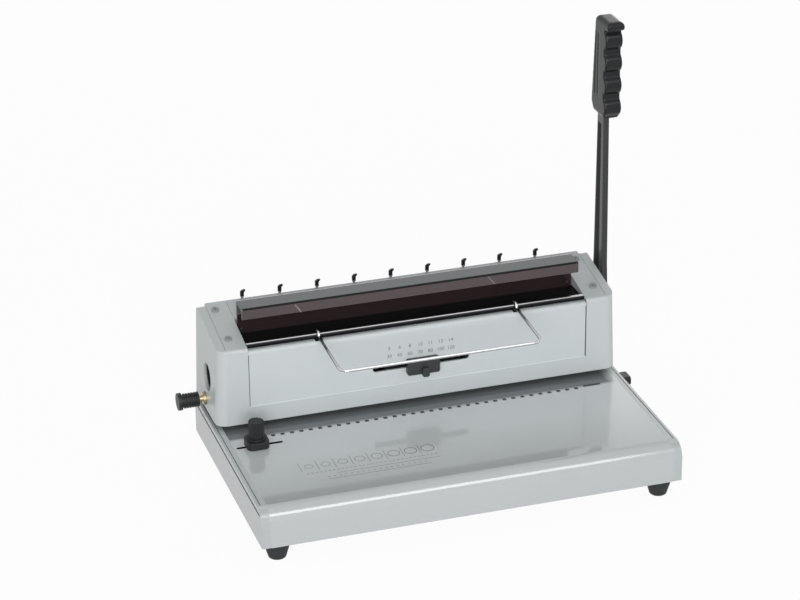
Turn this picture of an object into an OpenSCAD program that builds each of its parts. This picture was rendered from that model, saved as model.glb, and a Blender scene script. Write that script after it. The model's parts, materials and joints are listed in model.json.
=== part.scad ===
// Desk machine that punches square holes and closes wire spines with one side lever.
// Millimetres, +Z up, origin on the floor below the middle of the base, front towards -Y.

/* [Base] */
// Overall width of the base
base_w = 416; // [400:1:440]
// Overall depth of the base
base_d = 250; // [245:1:270]
// Height of the base box without its feet
base_h = 38; // [36:1:44]
// Thickness of the base sheet
base_sheet = 2; // [1.5:0.1:2.5]
// Outer radius of the rolled front edge of the deck
deck_roll_r = 15; // [8:1:17]
// Outer radius of the rear bend of the deck
deck_rear_r = 4; // [3:0.5:8]
// Width of the flange that each side plate turns in over the deck's edge
side_flange_w = 9; // [6:0.5:9]
// Gap between neighbouring sheets and covers
seam = 0.3; // [0.2:0.05:0.4]

/* [Feet] */
// Height of a rubber foot
foot_h = 18; // [12:1:24]
// Diameter of a foot where it meets the base
foot_d = 25; // [20:1:28]
// Diameter of a foot on the floor
foot_tip_d = 17; // [14:1:20]
// Foot centre from the side of the base
foot_inset_x = 18; // [15:1:20]
// Foot centre from the front and back of the base
foot_inset_y = 15; // [14:1:17]
// Diameter of the foot screws
foot_screw_d = 4.4; // [3:0.2:5]

/* [Casing] */
// Step from the side of the base to the casing's bottom edge
casing_inset = 2; // [1:0.5:3]
// Depth of the casing, measured from the back of the base
casing_depth = 83; // [82:0.5:86]
// Height of the paper throat between the deck and the casing
throat_h = 5; // [4.6:0.2:6]
// Height of the casing's front face
casing_front_h = 79; // [78:0.5:84]
// Rise of the casing's top towards the back, in degrees
top_slope = 10.3; // [8:0.1:11]
// Lean of the casing's ends, in degrees
end_draft = 2; // [1:0.25:2.5]
// Wall of the casing
casing_wall = 2.5; // [2:0.1:3]
// Radius of the casing's upright front corners
casing_corner_r = 11; // [6:0.5:14]
// Radius of the edge between the front and the top of the casing
casing_edge_r = 4; // [2:0.5:6]
// Width of an end tower beside the closing channel
tower_w = 33; // [32:0.5:36]
// Height of the front strip below the front panel
front_strip_h = 17; // [12:0.5:19]
// Thickness of the front panel and of the rear cover
panel_t = 2; // [1.5:0.1:2.5]
// Step from the casing's front face back to the front panel
panel_step = 1; // [0.5:0.1:1.5]
// Outer radius of the rounded lip on top of the front panel
panel_lip_r = 4; // [3:0.25:4.5]
// Diameter of the access hole in the left end
access_d = 28; // [20:1:30]
// Number of wire hooks on the top back edge
hook_count = 9; // [5:2:9]
// Distance between wire hooks
hook_pitch = 38.1; // [30:0.1:39]
// Height of a wire hook above its rail
hook_h = 10.5; // [8:0.5:15]
// Middle hook from the middle of the machine
hook_shift = -3.5; // [-5:0.5:5]

/* [Frame] */
// Thickness of the frame plates
frame_t = 6; // [5:0.5:7]
// Room between a frame plate and the casing's bottom edge
frame_room = 16; // [15:0.5:17]
// Diameter of the tie rods between the frame plates
tie_d = 8; // [6:0.5:9]

/* [Drive] */
// Diameter of the main shaft
shaft_d = 12; // [10:0.5:13]
// Shaft axis from the back of the base
shaft_back = 21; // [20.5:0.1:22]
// Swing of the lever, in degrees
lever_swing = 90; // [75:1:92]
// Module of the pinions and racks
gear_m = 1; // [0.95:0.01:1]
// Teeth of a punch pinion
punch_teeth = 18; // [18:2:18]
// Teeth of a jaw pinion
jaw_teeth = 24; // [24:2:24]
// Slack between rack and pinion teeth
gear_slack = 0.16; // [0.1:0.01:0.2]
// Width of the pinions and racks
gear_w = 8; // [6:0.5:9]

/* [Punch] */
// Distance between punched holes
hole_pitch = 8.467; // [8:0.001:8.6]
// Middle of the first hole from the left frame plate
row_left = 32.8; // [32.6:0.1:36]
// Least room from the middle of the last hole to the right frame plate
row_right = 55.7; // [50:0.1:65]
// Edge of a sheet to the middle of its first hole
sheet_edge = 9.3; // [8.5:0.1:9.5]
// Side of a square punch pin
pin_w = 4; // [3:0.1:4.2]
// Clearance of a pin in the stripper and the die, on each side
pin_clear = 0.1; // [0.08:0.01:0.15]
// Thickness of the stripper plate
stripper_t = 5; // [4:0.5:6]
// Thickness of the die plate
die_t = 8; // [6:0.5:9]
// Height of the punch bar
punch_bar_h = 9.5; // [8:0.5:11]
// Diameter of the guide pillars
pillar_d = 6; // [5:0.5:6.5]
// Running clearance of round fits, on the radius
run_clear = 0.05; // [0.03:0.01:0.08]

/* [Jaws] */
// Open height between the lower jaw and the upper jaw's flange
jaw_open = 31.5; // [29:0.5:34]
// Thickness of the upper jaw
jaw_t = 3; // [2:0.25:3.5]
// Reach of the upper jaw's flange towards the front
jaw_reach = 20; // [16:0.5:22]
// Diameter of the bright rod on the lower jaw
rod_d = 5; // [4:0.25:5]
// Rod axis behind the casing's front face
rod_back = 9; // [8.5:0.1:9.5]
// Thickness of the lower jaw
floor_t = 2; // [1.5:0.1:2.5]

/* [Lever] */
// Length of the lever from the shaft axis to the end of its grip
lever_l = 312; // [280:1:330]
// Width of the lever bar near its hub
bar_w = 23; // [18:0.5:26]
// Width of the lever bar in its grip
bar_tip_w = 16; // [13:0.5:18]
// Thickness of the lever bar
bar_t = 6; // [5:0.25:7]
// Length of the grip
grip_l = 101; // [90:1:115]
// Width of the grip across the lever bar
grip_w = 17.5; // [15:0.5:20]
// Reach of the finger swells in front of the shaft axis
grip_reach = 25; // [22:0.5:28]
// Height of the cap over the end of the shaft
cap_h = 5; // [4:0.5:7]
// Number of finger swells on the grip
grip_swells = 4; // [3:1:5]
// Depth of the hollows between the finger swells
swell_depth = 5; // [3:0.25:6]

/* [Selector] */
// Length of the selector's slot
slot_l = 99; // [97:1:110]
// Height of the selector's slot
slot_h = 6.4; // [5:0.2:7]
// Width of the selector's slider
slider_w = 33; // [28:0.5:36]
// Height of the selector's slider
slider_h = 16; // [12:0.5:18]
// Depth of the selector's slider in front of the panel
slider_t = 6; // [4:0.25:8]
// Steps of the selector's gauge
gauge_steps = 7; // [3:1:7]

/* [Bail] */
// Diameter of the bail's wire
bail_d = 3; // [2.5:0.1:3.2]
// Width of the bail between the middles of its legs
bail_w = 202; // [160:1:220]
// Reach of the bail from the rod
bail_l = 77; // [60:1:80]
// Bend radius at the bail's corners
bail_bend = 9; // [6:0.5:14]
// Droop of the bail below level, in degrees
bail_droop = 2.5; // [0:0.25:3]

/* [Edge guide] */
// Length of the guide slot in the deck
guide_slot_l = 46; // [44:1:48]
// Width of the guide slot
guide_slot_w = 4; // [3.5:0.1:5]
// Width of the edge guide block
guide_w = 22; // [20:0.5:25]
// Depth of the edge guide block
guide_d = 22; // [19:0.5:25]
// Height of the edge guide block
guide_h = 7.5; // [6:0.5:10]
// Diameter of the clamp knob
guide_knob_d = 15; // [13:0.5:17]
// Height of the clamp knob
guide_knob_h = 19; // [15:0.5:23]

/* [Side stop] */
// Diameter of the side stop's screw
stop_screw_d = 6; // [4:0.25:6.5]
// Height of the screw's axis above the deck
stop_screw_h = 15; // [14.6:0.1:15.2]
// Diameter of the ribbed knob
stop_knob_d = 15; // [12:0.5:17]
// Length of the ribbed knob
stop_knob_l = 21; // [18:0.5:28]
// Ribs of the knob
stop_knob_ribs = 6; // [4:1:8]

/* [Chip drawer] */
// Depth of the drawer from front to back
drawer_d = 81; // [70:1:82]
// Height of the drawer
drawer_h = 23; // [18:0.5:24]
// Wall of the drawer
drawer_wall = 1.6; // [1.2:0.1:2]
// Reach of the drawer's handle out of the base
handle_reach = 19.5; // [15:0.5:22]

/* [Hidden] */
$fn = 48;
cut = 1;
fit_clear = 0.04;

// Heights of the base
pan_z = foot_h;
pan_top = pan_z + base_sheet;
deck_z = foot_h + base_h;
side_x = base_w / 2;
back_y = base_d / 2;
deck_half = side_x - side_flange_w - seam / 2;
foot_x = side_x - foot_inset_x;
foot_y = back_y - foot_inset_y;
foot_recess = 7;
foot_screw_clear = 0.1;

// Places of the casing
casing_half = side_x - casing_inset;
casing_y = back_y - casing_depth;
casing_z = deck_z + throat_h;
front_top = casing_z + casing_front_h;
rise = tan(top_slope);
channel_half = casing_half - tower_w;
panel_y = casing_y + panel_step;
strip_top = casing_z + front_strip_h;
cover_front = back_y - 31;
frame_out = casing_half - frame_room;
frame_in = frame_out - frame_t;
function top_z(y) = front_top + (y - casing_y) * rise;
function inner_top_z(y) = top_z(y) - casing_wall / cos(top_slope);
function wall_x(z) = casing_half - (z - casing_z) * tan(end_draft);
function inner_wall_x(z) = wall_x(z) - casing_wall / cos(end_draft);

// Gears and strokes
swing_rad = lever_swing * PI / 180;
punch_r = punch_teeth * gear_m / 2;
jaw_r = jaw_teeth * gear_m / 2;
punch_stroke = punch_r * swing_rad;
jaw_stroke = jaw_r * swing_rad;
addendum = 0.95 * gear_m;
dedendum = 1.25 * gear_m;
pressure = 20;
free_gap = 0.5;

// Punch unit, stacked up from the deck
stripper_z = deck_z + throat_h;
stripper_top = stripper_z + stripper_t;
bar_z = stripper_top + punch_stroke + free_gap;
bar_top = bar_z + punch_bar_h;
pin_tip_z = stripper_z + 1;
shaft_y = back_y - shaft_back;
shaft_z = bar_top + punch_r + addendum + free_gap;
punch_y = shaft_y - 7;
punch_rack_y = shaft_y - punch_r;
jaw_rack_y = shaft_y - jaw_r;
rack_body = 3.75;
hole_w = pin_w + 2 * pin_clear;
row_x = -frame_in + row_left;
hole_count = floor((2 * frame_in - row_left - row_right) / hole_pitch) + 1;
bar_front = punch_y - 11;
bar_back = punch_y + 6;
bar_half = -row_x + pin_w / 2 + 2.3;
pillar_x = bar_half - 9.5;
pillar_y = bar_front + pillar_d / 2 + 2.5;
punch_gear_x = pillar_x - 26;

// Frame plates
frame_front = casing_y + 8;
frame_back = back_y - panel_t;
tie_inset = tie_d / 2 + 2;
tie_low = stripper_top + tie_inset;
tie_top = shaft_z + jaw_r + addendum + tie_d + 4;
tie_places = [[frame_front + tie_inset, tie_low], [frame_back - tie_inset, tie_low],
              [frame_back - tie_inset, tie_top]];
bush_r = shaft_d / 2 + 4;
frame_foot_w = 10;
frame_foot_t = 3;
frame_screw_r = 3.5;

// Die set
die_front = bar_front;
die_back = punch_y + 11;
die_half = frame_in - 1;
die_rest = 7;
back_stop_y = punch_y + 6;

// Jaws
floor_z = front_top - 2.6;
rod_y = casing_y + rod_back;
rod_z = floor_z + rod_d / 2;
jaw_back = jaw_rack_y - dedendum - rack_body;
jaw_front = jaw_back - jaw_t;
jaw_half = channel_half - 1;
flange_z = floor_z + jaw_open;
jaw_low = floor_z - floor_t - 1.5;
lip_clear = 4.5;
lip_z = floor_z + jaw_stroke + lip_clear;
floor_front = rod_y - 0.7;
floor_back = jaw_front - free_gap;
jaw_gear_x = jaw_half - gear_w / 2;
jaw_rack_low = shaft_z - 5.5;
jaw_rack_top = jaw_low + 12.5;
eye_room = 4;
panel_top = floor_z - seam;

// Lever
lever_x = casing_half + 2;
grip_low = shaft_z + lever_l - grip_l;
bar_in_grip = 34;
eye_r = bar_w / 2 + 6;
boss_r = shaft_d / 2 + 3;
grip_front = shaft_y - grip_reach;

// Selector
selector_x = 1;
selector_z = casing_z + 37;
stem_w = 11;
gauge_pitch = 10;
gauge_t = 3;

// Edge guide
guide_slot_x = -side_x + 34;
guide_x = guide_slot_x - 3;
guide_y = 4.7;
guide_clear = 0.05;
knob_foot_h = 2;

// Side stop
stop_y = bar_front + 3;
stop_z = deck_z + stop_screw_h;
stop_face_x = row_x - sheet_edge;
stop_slot_w = 14;
bush_out = 3;
knob_gap = 4;

// Chip drawer
drawer_back = punch_y + 6;
drawer_front = drawer_back - drawer_d;
drawer_left = -frame_in;
runner_h = 1;
drawer_z = pan_top + runner_h + 0.1;

// Profile in the YZ plane, drawn out along X from x0 to x1
module along_x(x0, x1) {
    translate([x0, 0, 0]) rotate([90, 0, 90]) linear_extrude(x1 - x0) children();
}

// Profile in the XZ plane, drawn out along Y from y0 to y1
module along_y(y0, y1) {
    translate([0, y1, 0]) rotate([90, 0, 0]) linear_extrude(y1 - y0) children();
}

// Round bar along X
module rod_x(x0, x1, y, z, r) {
    translate([x0, y, z]) rotate([0, 90, 0]) cylinder(h = x1 - x0, r = r);
}

// Round bar along Y
module rod_y_dir(y0, y1, x, z, r) {
    translate([x, y0, z]) rotate([-90, 0, 0]) cylinder(h = y1 - y0, r = r);
}

// Box between two corners
module block(a, b) {
    translate(a) cube(b - a);
}

// The same shape on the left and on the right
module both_sides() {
    children();
    mirror([1, 0, 0]) children();
}

// Rectangle with round corners, centred
module rounded(w, h, r) {
    square([w - 2 * r, h], center = true);
    square([w, h - 2 * r], center = true);
    for (sx = [-1, 1], sy = [-1, 1])
        translate([sx * (w / 2 - r), sy * (h / 2 - r)]) circle(r);
}

// Hood section: flat top with a front roll and a rear bend, open below
module hood(y0, y1, z0, z1, rf, rb) {
    translate([y0 + rf, z0]) square([y1 - y0 - rf - rb, z1 - z0]);
    translate([y0, z0]) square([2 * rf, z1 - z0 - rf]);
    translate([y0 + rf, z1 - rf]) circle(rf);
    translate([y1 - 2 * rb, z0]) square([2 * rb, z1 - z0 - rb]);
    translate([y1 - rb, z1 - rb]) circle(rb);
}

module base_outline() {
    hood(-back_y, back_y, pan_z, deck_z, deck_roll_r, deck_rear_r);
}

// Bent sheet of the base: the outline less the same outline one sheet further in
module base_sheet_section() {
    difference() {
        base_outline();
        hood(-back_y + base_sheet, back_y - base_sheet, pan_z - cut, deck_z - base_sheet,
             deck_roll_r - base_sheet, deck_rear_r - base_sheet);
    }
}

module base_deck() {
    color("silver") difference() {
        along_x(-deck_half, deck_half) base_sheet_section();
        block([-die_half - seam, die_front - seam, deck_z - base_sheet - cut],
              [die_half + seam, die_back + seam, deck_z + cut]);
        translate([guide_slot_x, guide_y, deck_z - base_sheet - cut])
            linear_extrude(base_sheet + 2 * cut)
                rounded(guide_slot_l, guide_slot_w, guide_slot_w / 2 - 0.01);
    }
}

// Side plate with a flange turned in over the deck's edges
module side_plate() {
    along_x(side_x - base_sheet, side_x) base_outline();
    along_x(side_x - side_flange_w, side_x - base_sheet + 0.01) base_sheet_section();
}

module base_left_side() {
    color("silver") mirror([1, 0, 0]) side_plate();
}

module base_right_side() {
    color("silver") difference() {
        side_plate();
        block([side_x - side_flange_w - cut, drawer_front - seam, drawer_z - seam],
              [side_x + cut, drawer_back + seam, drawer_z + drawer_h + seam]);
    }
}

module base_pan() {
    color("gray") difference() {
        block([-side_x + base_sheet, -back_y + base_sheet, pan_z],
              [side_x - base_sheet, back_y - base_sheet, pan_top]);
        for (sx = [-1, 1], sy = [-1, 1])
            translate([sx * foot_x, sy * foot_y, pan_z - cut])
                cylinder(h = base_sheet + 2 * cut, r = foot_screw_d / 2 + foot_screw_clear);
    }
}

// Tapered rubber foot with a recess for its screw
module rubber_foot() {
    screw_hole = foot_screw_d / 2 + foot_screw_clear;
    rotate_extrude() polygon([
        [screw_hole + 2.8, 0], [foot_tip_d / 2 - 1, 0], [foot_tip_d / 2, 1],
        [foot_d / 2 - 0.6, foot_h - 5.5], [foot_d / 2, foot_h - 4], [foot_d / 2, foot_h],
        [screw_hole, foot_h], [screw_hole, foot_recess], [screw_hole + 2.8, foot_recess]]);
}

module rubber_feet() {
    color("#2b2f31") for (sx = [-1, 1], sy = [-1, 1])
        translate([sx * foot_x, sy * foot_y, 0]) rubber_foot();
}

module foot_screws() {
    color("darkgray") for (sx = [-1, 1], sy = [-1, 1])
        translate([sx * foot_x, sy * foot_y, 0]) rotate_extrude()
            polygon([[0, foot_recess - 3], [foot_screw_d / 2 + 1.4, foot_recess - 3],
                     [foot_screw_d / 2 + 2.1, foot_recess - 2], [foot_screw_d / 2 + 2.1, foot_recess],
                     [foot_screw_d / 2, foot_recess], [foot_screw_d / 2, pan_top + 2], [0, pan_top + 2]]);
}

// Section of the casing from front to back, moved in by e on every wall
module casing_section(e) {
    r = max(casing_edge_r - e, 0.5);
    y0 = casing_y + e;
    z1 = top_z(y0) - e / cos(top_slope);
    z0 = e > 0 ? casing_z - cut : casing_z;
    y1 = e > 0 ? back_y + cut : back_y;
    zc = z1 + r * rise - r / cos(top_slope);
    polygon([[y0, z0], [y0, zc], [y0 + r - r * sin(top_slope), zc + r * cos(top_slope)],
             [y1, z1 + (y1 - y0) * rise], [y1, z0]]);
    translate([y0 + r, zc]) circle(r);
}

// Leaning end wall with its round front corner, moved in by e; the other end is left wide
module casing_end(e) {
    wide = 2 * base_w;
    r = casing_corner_r - e;
    y0 = casing_y + e;
    deep = casing_depth + 2 * cut;
    translate([casing_half - e / cos(end_draft), 0, casing_z]) rotate([0, -end_draft, 0])
        translate([0, 0, -base_h]) linear_extrude(base_h + 2 * casing_depth) {
            translate([-wide, y0 + r]) square([wide, deep - r]);
            translate([-wide, y0]) square([wide - r, 2 * r]);
            translate([-r, y0 + r]) circle(r);
        }
}

module casing_block(e) {
    intersection() {
        along_x(-base_w, base_w) casing_section(e);
        casing_end(e);
        mirror([1, 0, 0]) casing_end(e);
    }
}

// Shallow seam that runs up the slope of the casing's top beside each end
module top_seam() {
    seam_w = 0.8;
    y0 = casing_y + casing_edge_r;
    translate([wall_x(front_top) - side_flange_w, y0, top_z(y0)]) rotate([top_slope, 0, 0])
        translate([-seam_w / 2, 0, -seam_w]) cube([seam_w, 2 * casing_depth, 2 * seam_w]);
}

// What is cut off the upper back corner of each end, outside the seam
module end_corner() {
    r = 2.2 * casing_wall;
    x0 = wall_x(front_top) - side_flange_w;
    yc = back_y - r;
    zc = top_z(yc) - r / cos(top_slope);
    difference() {
        block([x0, yc, zc], [base_w, back_y + cut, zc + 4 * r]);
        rod_x(x0 - cut, base_w + cut, yc, zc, r);
    }
}

module main_casing() {
    collar_t = 2.5;
    collar_l = 6;
    access_y = casing_y + casing_depth / 2 - 1.5;
    access_z = casing_z + 36;
    color("silver") {
        difference() {
            casing_block(0);
            casing_block(casing_wall);
            block([-channel_half, casing_y - cut, strip_top],
                  [channel_half, casing_y + casing_wall + cut, 3 * front_top]);
            block([-channel_half, casing_y - cut, floor_z - floor_t],
                  [channel_half, back_y + cut, 3 * front_top]);
            rod_x(-base_w, 0, access_y, access_z, access_d / 2);
            rod_x(0, base_w, shaft_y, shaft_z, shaft_d / 2 + 3);
            rod_x(-base_w, 0, stop_y, stop_z, stop_screw_d / 2 + 4);
            both_sides() top_seam();
            both_sides() end_corner();
            for (p = casing_screw_places) translate([p[0], p[1], top_z(p[1])]) rotate([top_slope, 0, 0])
                translate([0, 0, -8]) cylinder(h = 16, r = casing_screw_r + 0.2);
        }
        difference() {
            intersection() {
                rod_x(-base_w, -inner_wall_x(access_z) + collar_l, access_y, access_z,
                      access_d / 2 + collar_t);
                casing_block(0.1);
            }
            rod_x(-base_w, 0, access_y, access_z, access_d / 2);
        }
        both_sides() intersection() {
            along_x(channel_half, channel_half + casing_wall) casing_section(0.1);
            block([0, 0, floor_z + seam], [base_w, back_y - panel_t - 2 * seam, 3 * front_top]);
        }
    }
}

// Front sheet that drops in between the towers, with a lap behind the strip and a round upper lip
module front_panel() {
    lap = 10;
    lip_back = floor_front - seam;
    r = panel_lip_r;
    color("silver") difference() {
        along_x(-channel_half + 0.2, channel_half - 0.2) {
            translate([panel_y, strip_top + 0.2]) square([panel_t, panel_top - r - strip_top - 0.2]);
            translate([casing_y + casing_wall, strip_top - lap]) square([panel_t, lap + 4]);
            intersection() {
                difference() {
                    translate([panel_y + r, panel_top - r]) circle(r);
                    translate([panel_y + r, panel_top - r]) circle(r - panel_t);
                }
                translate([panel_y, panel_top - r]) square([r, r]);
            }
            translate([panel_y + r, panel_top - panel_t]) square([lip_back - panel_y - r, panel_t]);
        }
        along_y(casing_y - cut, casing_y + 4 * panel_t) translate([selector_x, selector_z])
            rounded(slot_l, slot_h, slot_h / 2 - 0.01);
        both_sides() block([bail_w / 2 - eye_room, panel_y + panel_t, floor_z - 8],
                           [bail_w / 2 + eye_room, lip_back + cut, floor_z + cut]);
    }
}

// Rear sheet: an upright back that fits between the ends, and a sloped top behind the jaw
module rear_cover() {
    low = casing_z + seam;
    high = inner_top_z(back_y - panel_t) - seam;
    lip_h = 9;
    half = channel_half - seam;
    color("silver") {
        difference() {
            along_y(back_y - panel_t, back_y) polygon([
                [-inner_wall_x(low) + seam, low], [inner_wall_x(low) - seam, low],
                [inner_wall_x(high) - seam, high], [-inner_wall_x(high) + seam, high]]);
            for (p = rear_screw_places) rod_y_dir(0, 2 * back_y, p[0], p[1], rear_screw_r + 0.05);
        }
        along_x(-half, half) polygon([
            [cover_front, top_z(cover_front) - lip_h], [cover_front, top_z(cover_front)],
            [back_y, top_z(back_y)], [back_y, top_z(back_y) - 2 * panel_t],
            [back_y - panel_t, top_z(back_y) - 2 * panel_t],
            [back_y - panel_t, top_z(back_y - panel_t) - panel_t / cos(top_slope)],
            [cover_front + panel_t, top_z(cover_front + panel_t) - panel_t / cos(top_slope)],
            [cover_front + panel_t, top_z(cover_front) - lip_h]]);
    }
}

rail_t = 2.5;
rail_top = top_z(back_y) - 2;
rail_h = 12;
rail_half = (hook_count - 1) * hook_pitch / 2 + 10;

module hook_rail() {
    color("#3a3d3f") block([-rail_half, back_y, rail_top - rail_h], [rail_half, back_y + rail_t, rail_top]);
}

// Small claw: a slim foot, a broad body and a short point that leans over towards +X
module hook_outline() {
    w = hook_h * 0.17;
    polygon([[-w * 0.6, 0], [w * 0.6, 0], [w * 0.6, hook_h * 0.22], [w, hook_h * 0.3],
             [w, hook_h * 0.72], [w * 2, hook_h * 0.94], [w * 1.6, hook_h], [0, hook_h * 0.95],
             [-w, hook_h * 0.8], [-w, hook_h * 0.3], [-w * 0.6, hook_h * 0.22]]);
}

module wire_hooks() {
    color("#222426") for (i = [0 : hook_count - 1])
        translate([(i - (hook_count - 1) / 2) * hook_pitch + hook_shift, 0, rail_top])
            along_y(back_y, back_y + rail_t) hook_outline();
}

casing_screw_r = 2;
frame_mid = frame_in + frame_t / 2;
casing_screw_inset = 12;
casing_screw_ys = [frame_front + casing_screw_inset, frame_back - casing_screw_inset];
casing_screw_places = [for (sx = [-1, 1], y = casing_screw_ys) [sx * frame_mid, y]];

module casing_screws() {
    head_h = 1.8;
    color("darkgray") for (p = casing_screw_places)
        translate([p[0], p[1], top_z(p[1])]) rotate([top_slope, 0, 0]) {
            cylinder(h = head_h, r = casing_screw_r + 1.6);
            translate([0, 0, -11]) cylinder(h = 11.5, r = casing_screw_r);
        }
}

rear_screw_r = 1.6;
rear_screw_l = 8;
rear_screw_inset = 14;
rear_screw_zs = [casing_z + rear_screw_inset, front_top - rear_screw_inset];
rear_screw_places = [for (sx = [-1, 1], z = rear_screw_zs) [sx * frame_mid, z]];

module rear_cover_screws() {
    color("darkgray") for (p = rear_screw_places) {
        rod_y_dir(back_y, back_y + 1.8, p[0], p[1], rear_screw_r + 1.8);
        rod_y_dir(frame_back - rear_screw_l, back_y + 0.01, p[0], p[1], rear_screw_r);
    }
}

// Upright plate that carries the shaft, the jaws and the die set, with a foot turned outwards
module frame_plate(holes) {
    difference() {
        union() {
            along_x(frame_in, frame_out) polygon([
                [frame_front, deck_z], [frame_front, inner_top_z(frame_front) - 0.1],
                [frame_back, inner_top_z(frame_back) - 0.1], [frame_back, deck_z]]);
            block([frame_out - 0.01, frame_front + 8, deck_z],
                  [frame_out + frame_foot_w, frame_back - 4, deck_z + frame_foot_t]);
        }
        rod_x(0, base_w, shaft_y, shaft_z, bush_r + fit_clear);
        for (h = holes) rod_x(0, base_w, h[0], h[1], h[2]);
        for (p = rear_screw_places)
            rod_y_dir(frame_back - rear_screw_l - cut, 2 * back_y, p[0], p[1], rear_screw_r + 0.05);
        for (p = casing_screw_places) translate([p[0], p[1], top_z(p[1])]) rotate([top_slope, 0, 0])
            translate([0, 0, -16]) cylinder(h = 16, r = casing_screw_r + 0.05);
    }
}

module left_frame_plate() {
    color("dimgray") mirror([1, 0, 0]) frame_plate([[stop_y, stop_z, stop_screw_d / 2 + 3 + fit_clear]]);
}

// Plate with a peg that the spring's fixed leg leans on
module right_frame_plate() {
    color("dimgray") {
        frame_plate([]);
        rod_x(frame_out - 0.01, spring_x + spring_wire / 2, shaft_y + spring_r + spring_wire / 2 + peg_r,
              shaft_z - spring_leg + 2, peg_r);
    }
}

module frame_tie_rods() {
    color("lightsteelblue") for (p = tie_places) rod_x(-frame_in, frame_in, p[0], p[1], tie_d / 2);
}

module frame_screws() {
    color("darkgray") both_sides() {
        for (p = tie_places) rod_x(frame_out, frame_out + 3, p[0], p[1], tie_d / 2 + 1);
        for (y = [frame_front + 16, frame_back - 12])
            translate([frame_out + frame_foot_w - 4.6, y, deck_z + frame_foot_t])
                cylinder(h = 2.2, r = frame_screw_r);
    }
}

module shaft_bushes() {
    color("peru") both_sides() difference() {
        union() {
            rod_x(frame_in, frame_out, shaft_y, shaft_z, bush_r);
            rod_x(frame_in - 2, frame_in, shaft_y, shaft_z, bush_r + 3);
        }
        rod_x(0, base_w, shaft_y, shaft_z, shaft_d / 2 + run_clear);
    }
}

// Places of the punched holes along X
hole_places = [for (i = [0 : hole_count - 1]) row_x + i * hole_pitch];

// Square shafts through the row of holes
module hole_row(z0, z1, w) {
    for (x = hole_places) translate([x - w / 2, punch_y - w / 2, z0]) cube([w, w, z1 - z0]);
}

module die_plate() {
    land = 4;
    color("slategray") difference() {
        block([-die_half, die_front, deck_z - die_t], [die_half, die_back, deck_z]);
        hole_row(deck_z - land - cut, deck_z + cut, hole_w);
        hole_row(deck_z - die_t - cut, deck_z - land, hole_w + 1);
    }
}

// U-shaped spacer that sets the throat's height and stops the sheets behind the holes
module die_spacer() {
    color("slategray") {
        block([-die_half, back_stop_y, deck_z], [die_half, die_back, stripper_z]);
        both_sides() block([die_half - die_rest, die_front, deck_z],
                           [die_half, back_stop_y + 0.01, stripper_z]);
    }
}

module stripper_plate() {
    color("slategray") difference() {
        block([-frame_in, die_front - 2, stripper_z], [frame_in, die_back, stripper_top]);
        hole_row(stripper_z - cut, stripper_top + cut, hole_w);
        both_sides() translate([pillar_x, pillar_y, stripper_z - cut])
            cylinder(h = stripper_t + 2 * cut, r = pillar_d / 2 + fit_clear);
        block([stop_face_x - stop_slot_w + 4, stop_y - 3.6, stripper_z - cut],
              [stop_face_x + 4, stop_y + 3.6, stripper_top + cut]);
    }
}

module guide_pillars() {
    color("lightsteelblue") both_sides() translate([pillar_x, pillar_y, stripper_z])
        cylinder(h = bar_top + 2 * punch_bar_h - stripper_z, r = pillar_d / 2);
}

module paper_guide_plate() {
    guide_t = 1.5;
    color("gray") block([-frame_in, casing_y + casing_wall + 0.2, casing_z],
                        [frame_in, die_front - 2.1, casing_z + guide_t]);
}

module lower_jaw() {
    color("#1d1f20") difference() {
        block([-frame_in, floor_front, floor_z - floor_t], [frame_in, floor_back, floor_z]);
        both_sides() block([bail_w / 2 - eye_room, floor_front - cut, floor_z - floor_t - cut],
                           [bail_w / 2 + eye_room, rod_y + 7, floor_z + cut]);
    }
}

module lower_jaw_rod() {
    color("gainsboro") rod_x(-channel_half + 0.5, channel_half - 0.5, rod_y, rod_z, rod_d / 2);
}

module drawer_runners() {
    color("gray") for (y = [drawer_front + 8, drawer_back - 14])
        block([drawer_left, y, pan_top], [side_x - side_flange_w, y + 6, pan_top + runner_h]);
}

// Brass bush in the left frame plate that reaches out through the casing's end
module stop_screw_bush() {
    out = -wall_x(stop_z) - bush_out;
    r = stop_screw_d / 2 + 3;
    color("goldenrod") difference() {
        union() {
            rod_x(out, -frame_in, stop_y, stop_z, r);
            rod_x(-frame_out - 1.5, -frame_out, stop_y, stop_z, r + 1.2);
        }
        rod_x(-base_w, 0, stop_y, stop_z, stop_screw_d / 2 + run_clear);
    }
}

// Wire swept along a list of points with a ring of sides at each
function unit(v) = v / norm(v);
function tangent(p, i) = unit(p[min(i + 1, len(p) - 1)] - p[max(i - 1, 0)]);
function across(t) = unit(cross(t, [1, 0.01, 0.02]));
function ring(p, i, r, n) =
    let (t = tangent(p, i), a = across(t), b = cross(t, a))
    [for (k = [0 : n - 1]) p[i] + r * (cos(360 * k / n) * a + sin(360 * k / n) * b)];

module wire_sweep(p, r, n) {
    points = [for (i = [0 : len(p) - 1]) each ring(p, i, r, n)];
    sides = [for (i = [0 : len(p) - 2], k = [0 : n - 1])
        let (a = i * n + k, b = i * n + (k + 1) % n)
        each [[a, b, b + n], [a, b + n, a + n]]];
    first = [for (k = [1 : n - 2]) [0, k + 1, k]];
    last_i = (len(p) - 1) * n;
    last = [for (k = [1 : n - 2]) [last_i, last_i + k, last_i + k + 1]];
    polyhedron(points = points, faces = [for (f = concat(sides, first, last)) [f[0], f[2], f[1]]]);
}

// Torsion spring round the right end of the shaft, with a straight leg at each end
spring_wire = 2;
spring_turns = 2.25;
spring_pitch = 2.6;
spring_r = shaft_d / 2 + 3.4;
spring_x = frame_out + spring_wire / 2 + seam;
spring_leg = 11;
spring_rings = 24;
spring_end_x = spring_x + spring_turns * spring_pitch;
peg_r = 1.5;
collar_w = 2.4;

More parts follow.
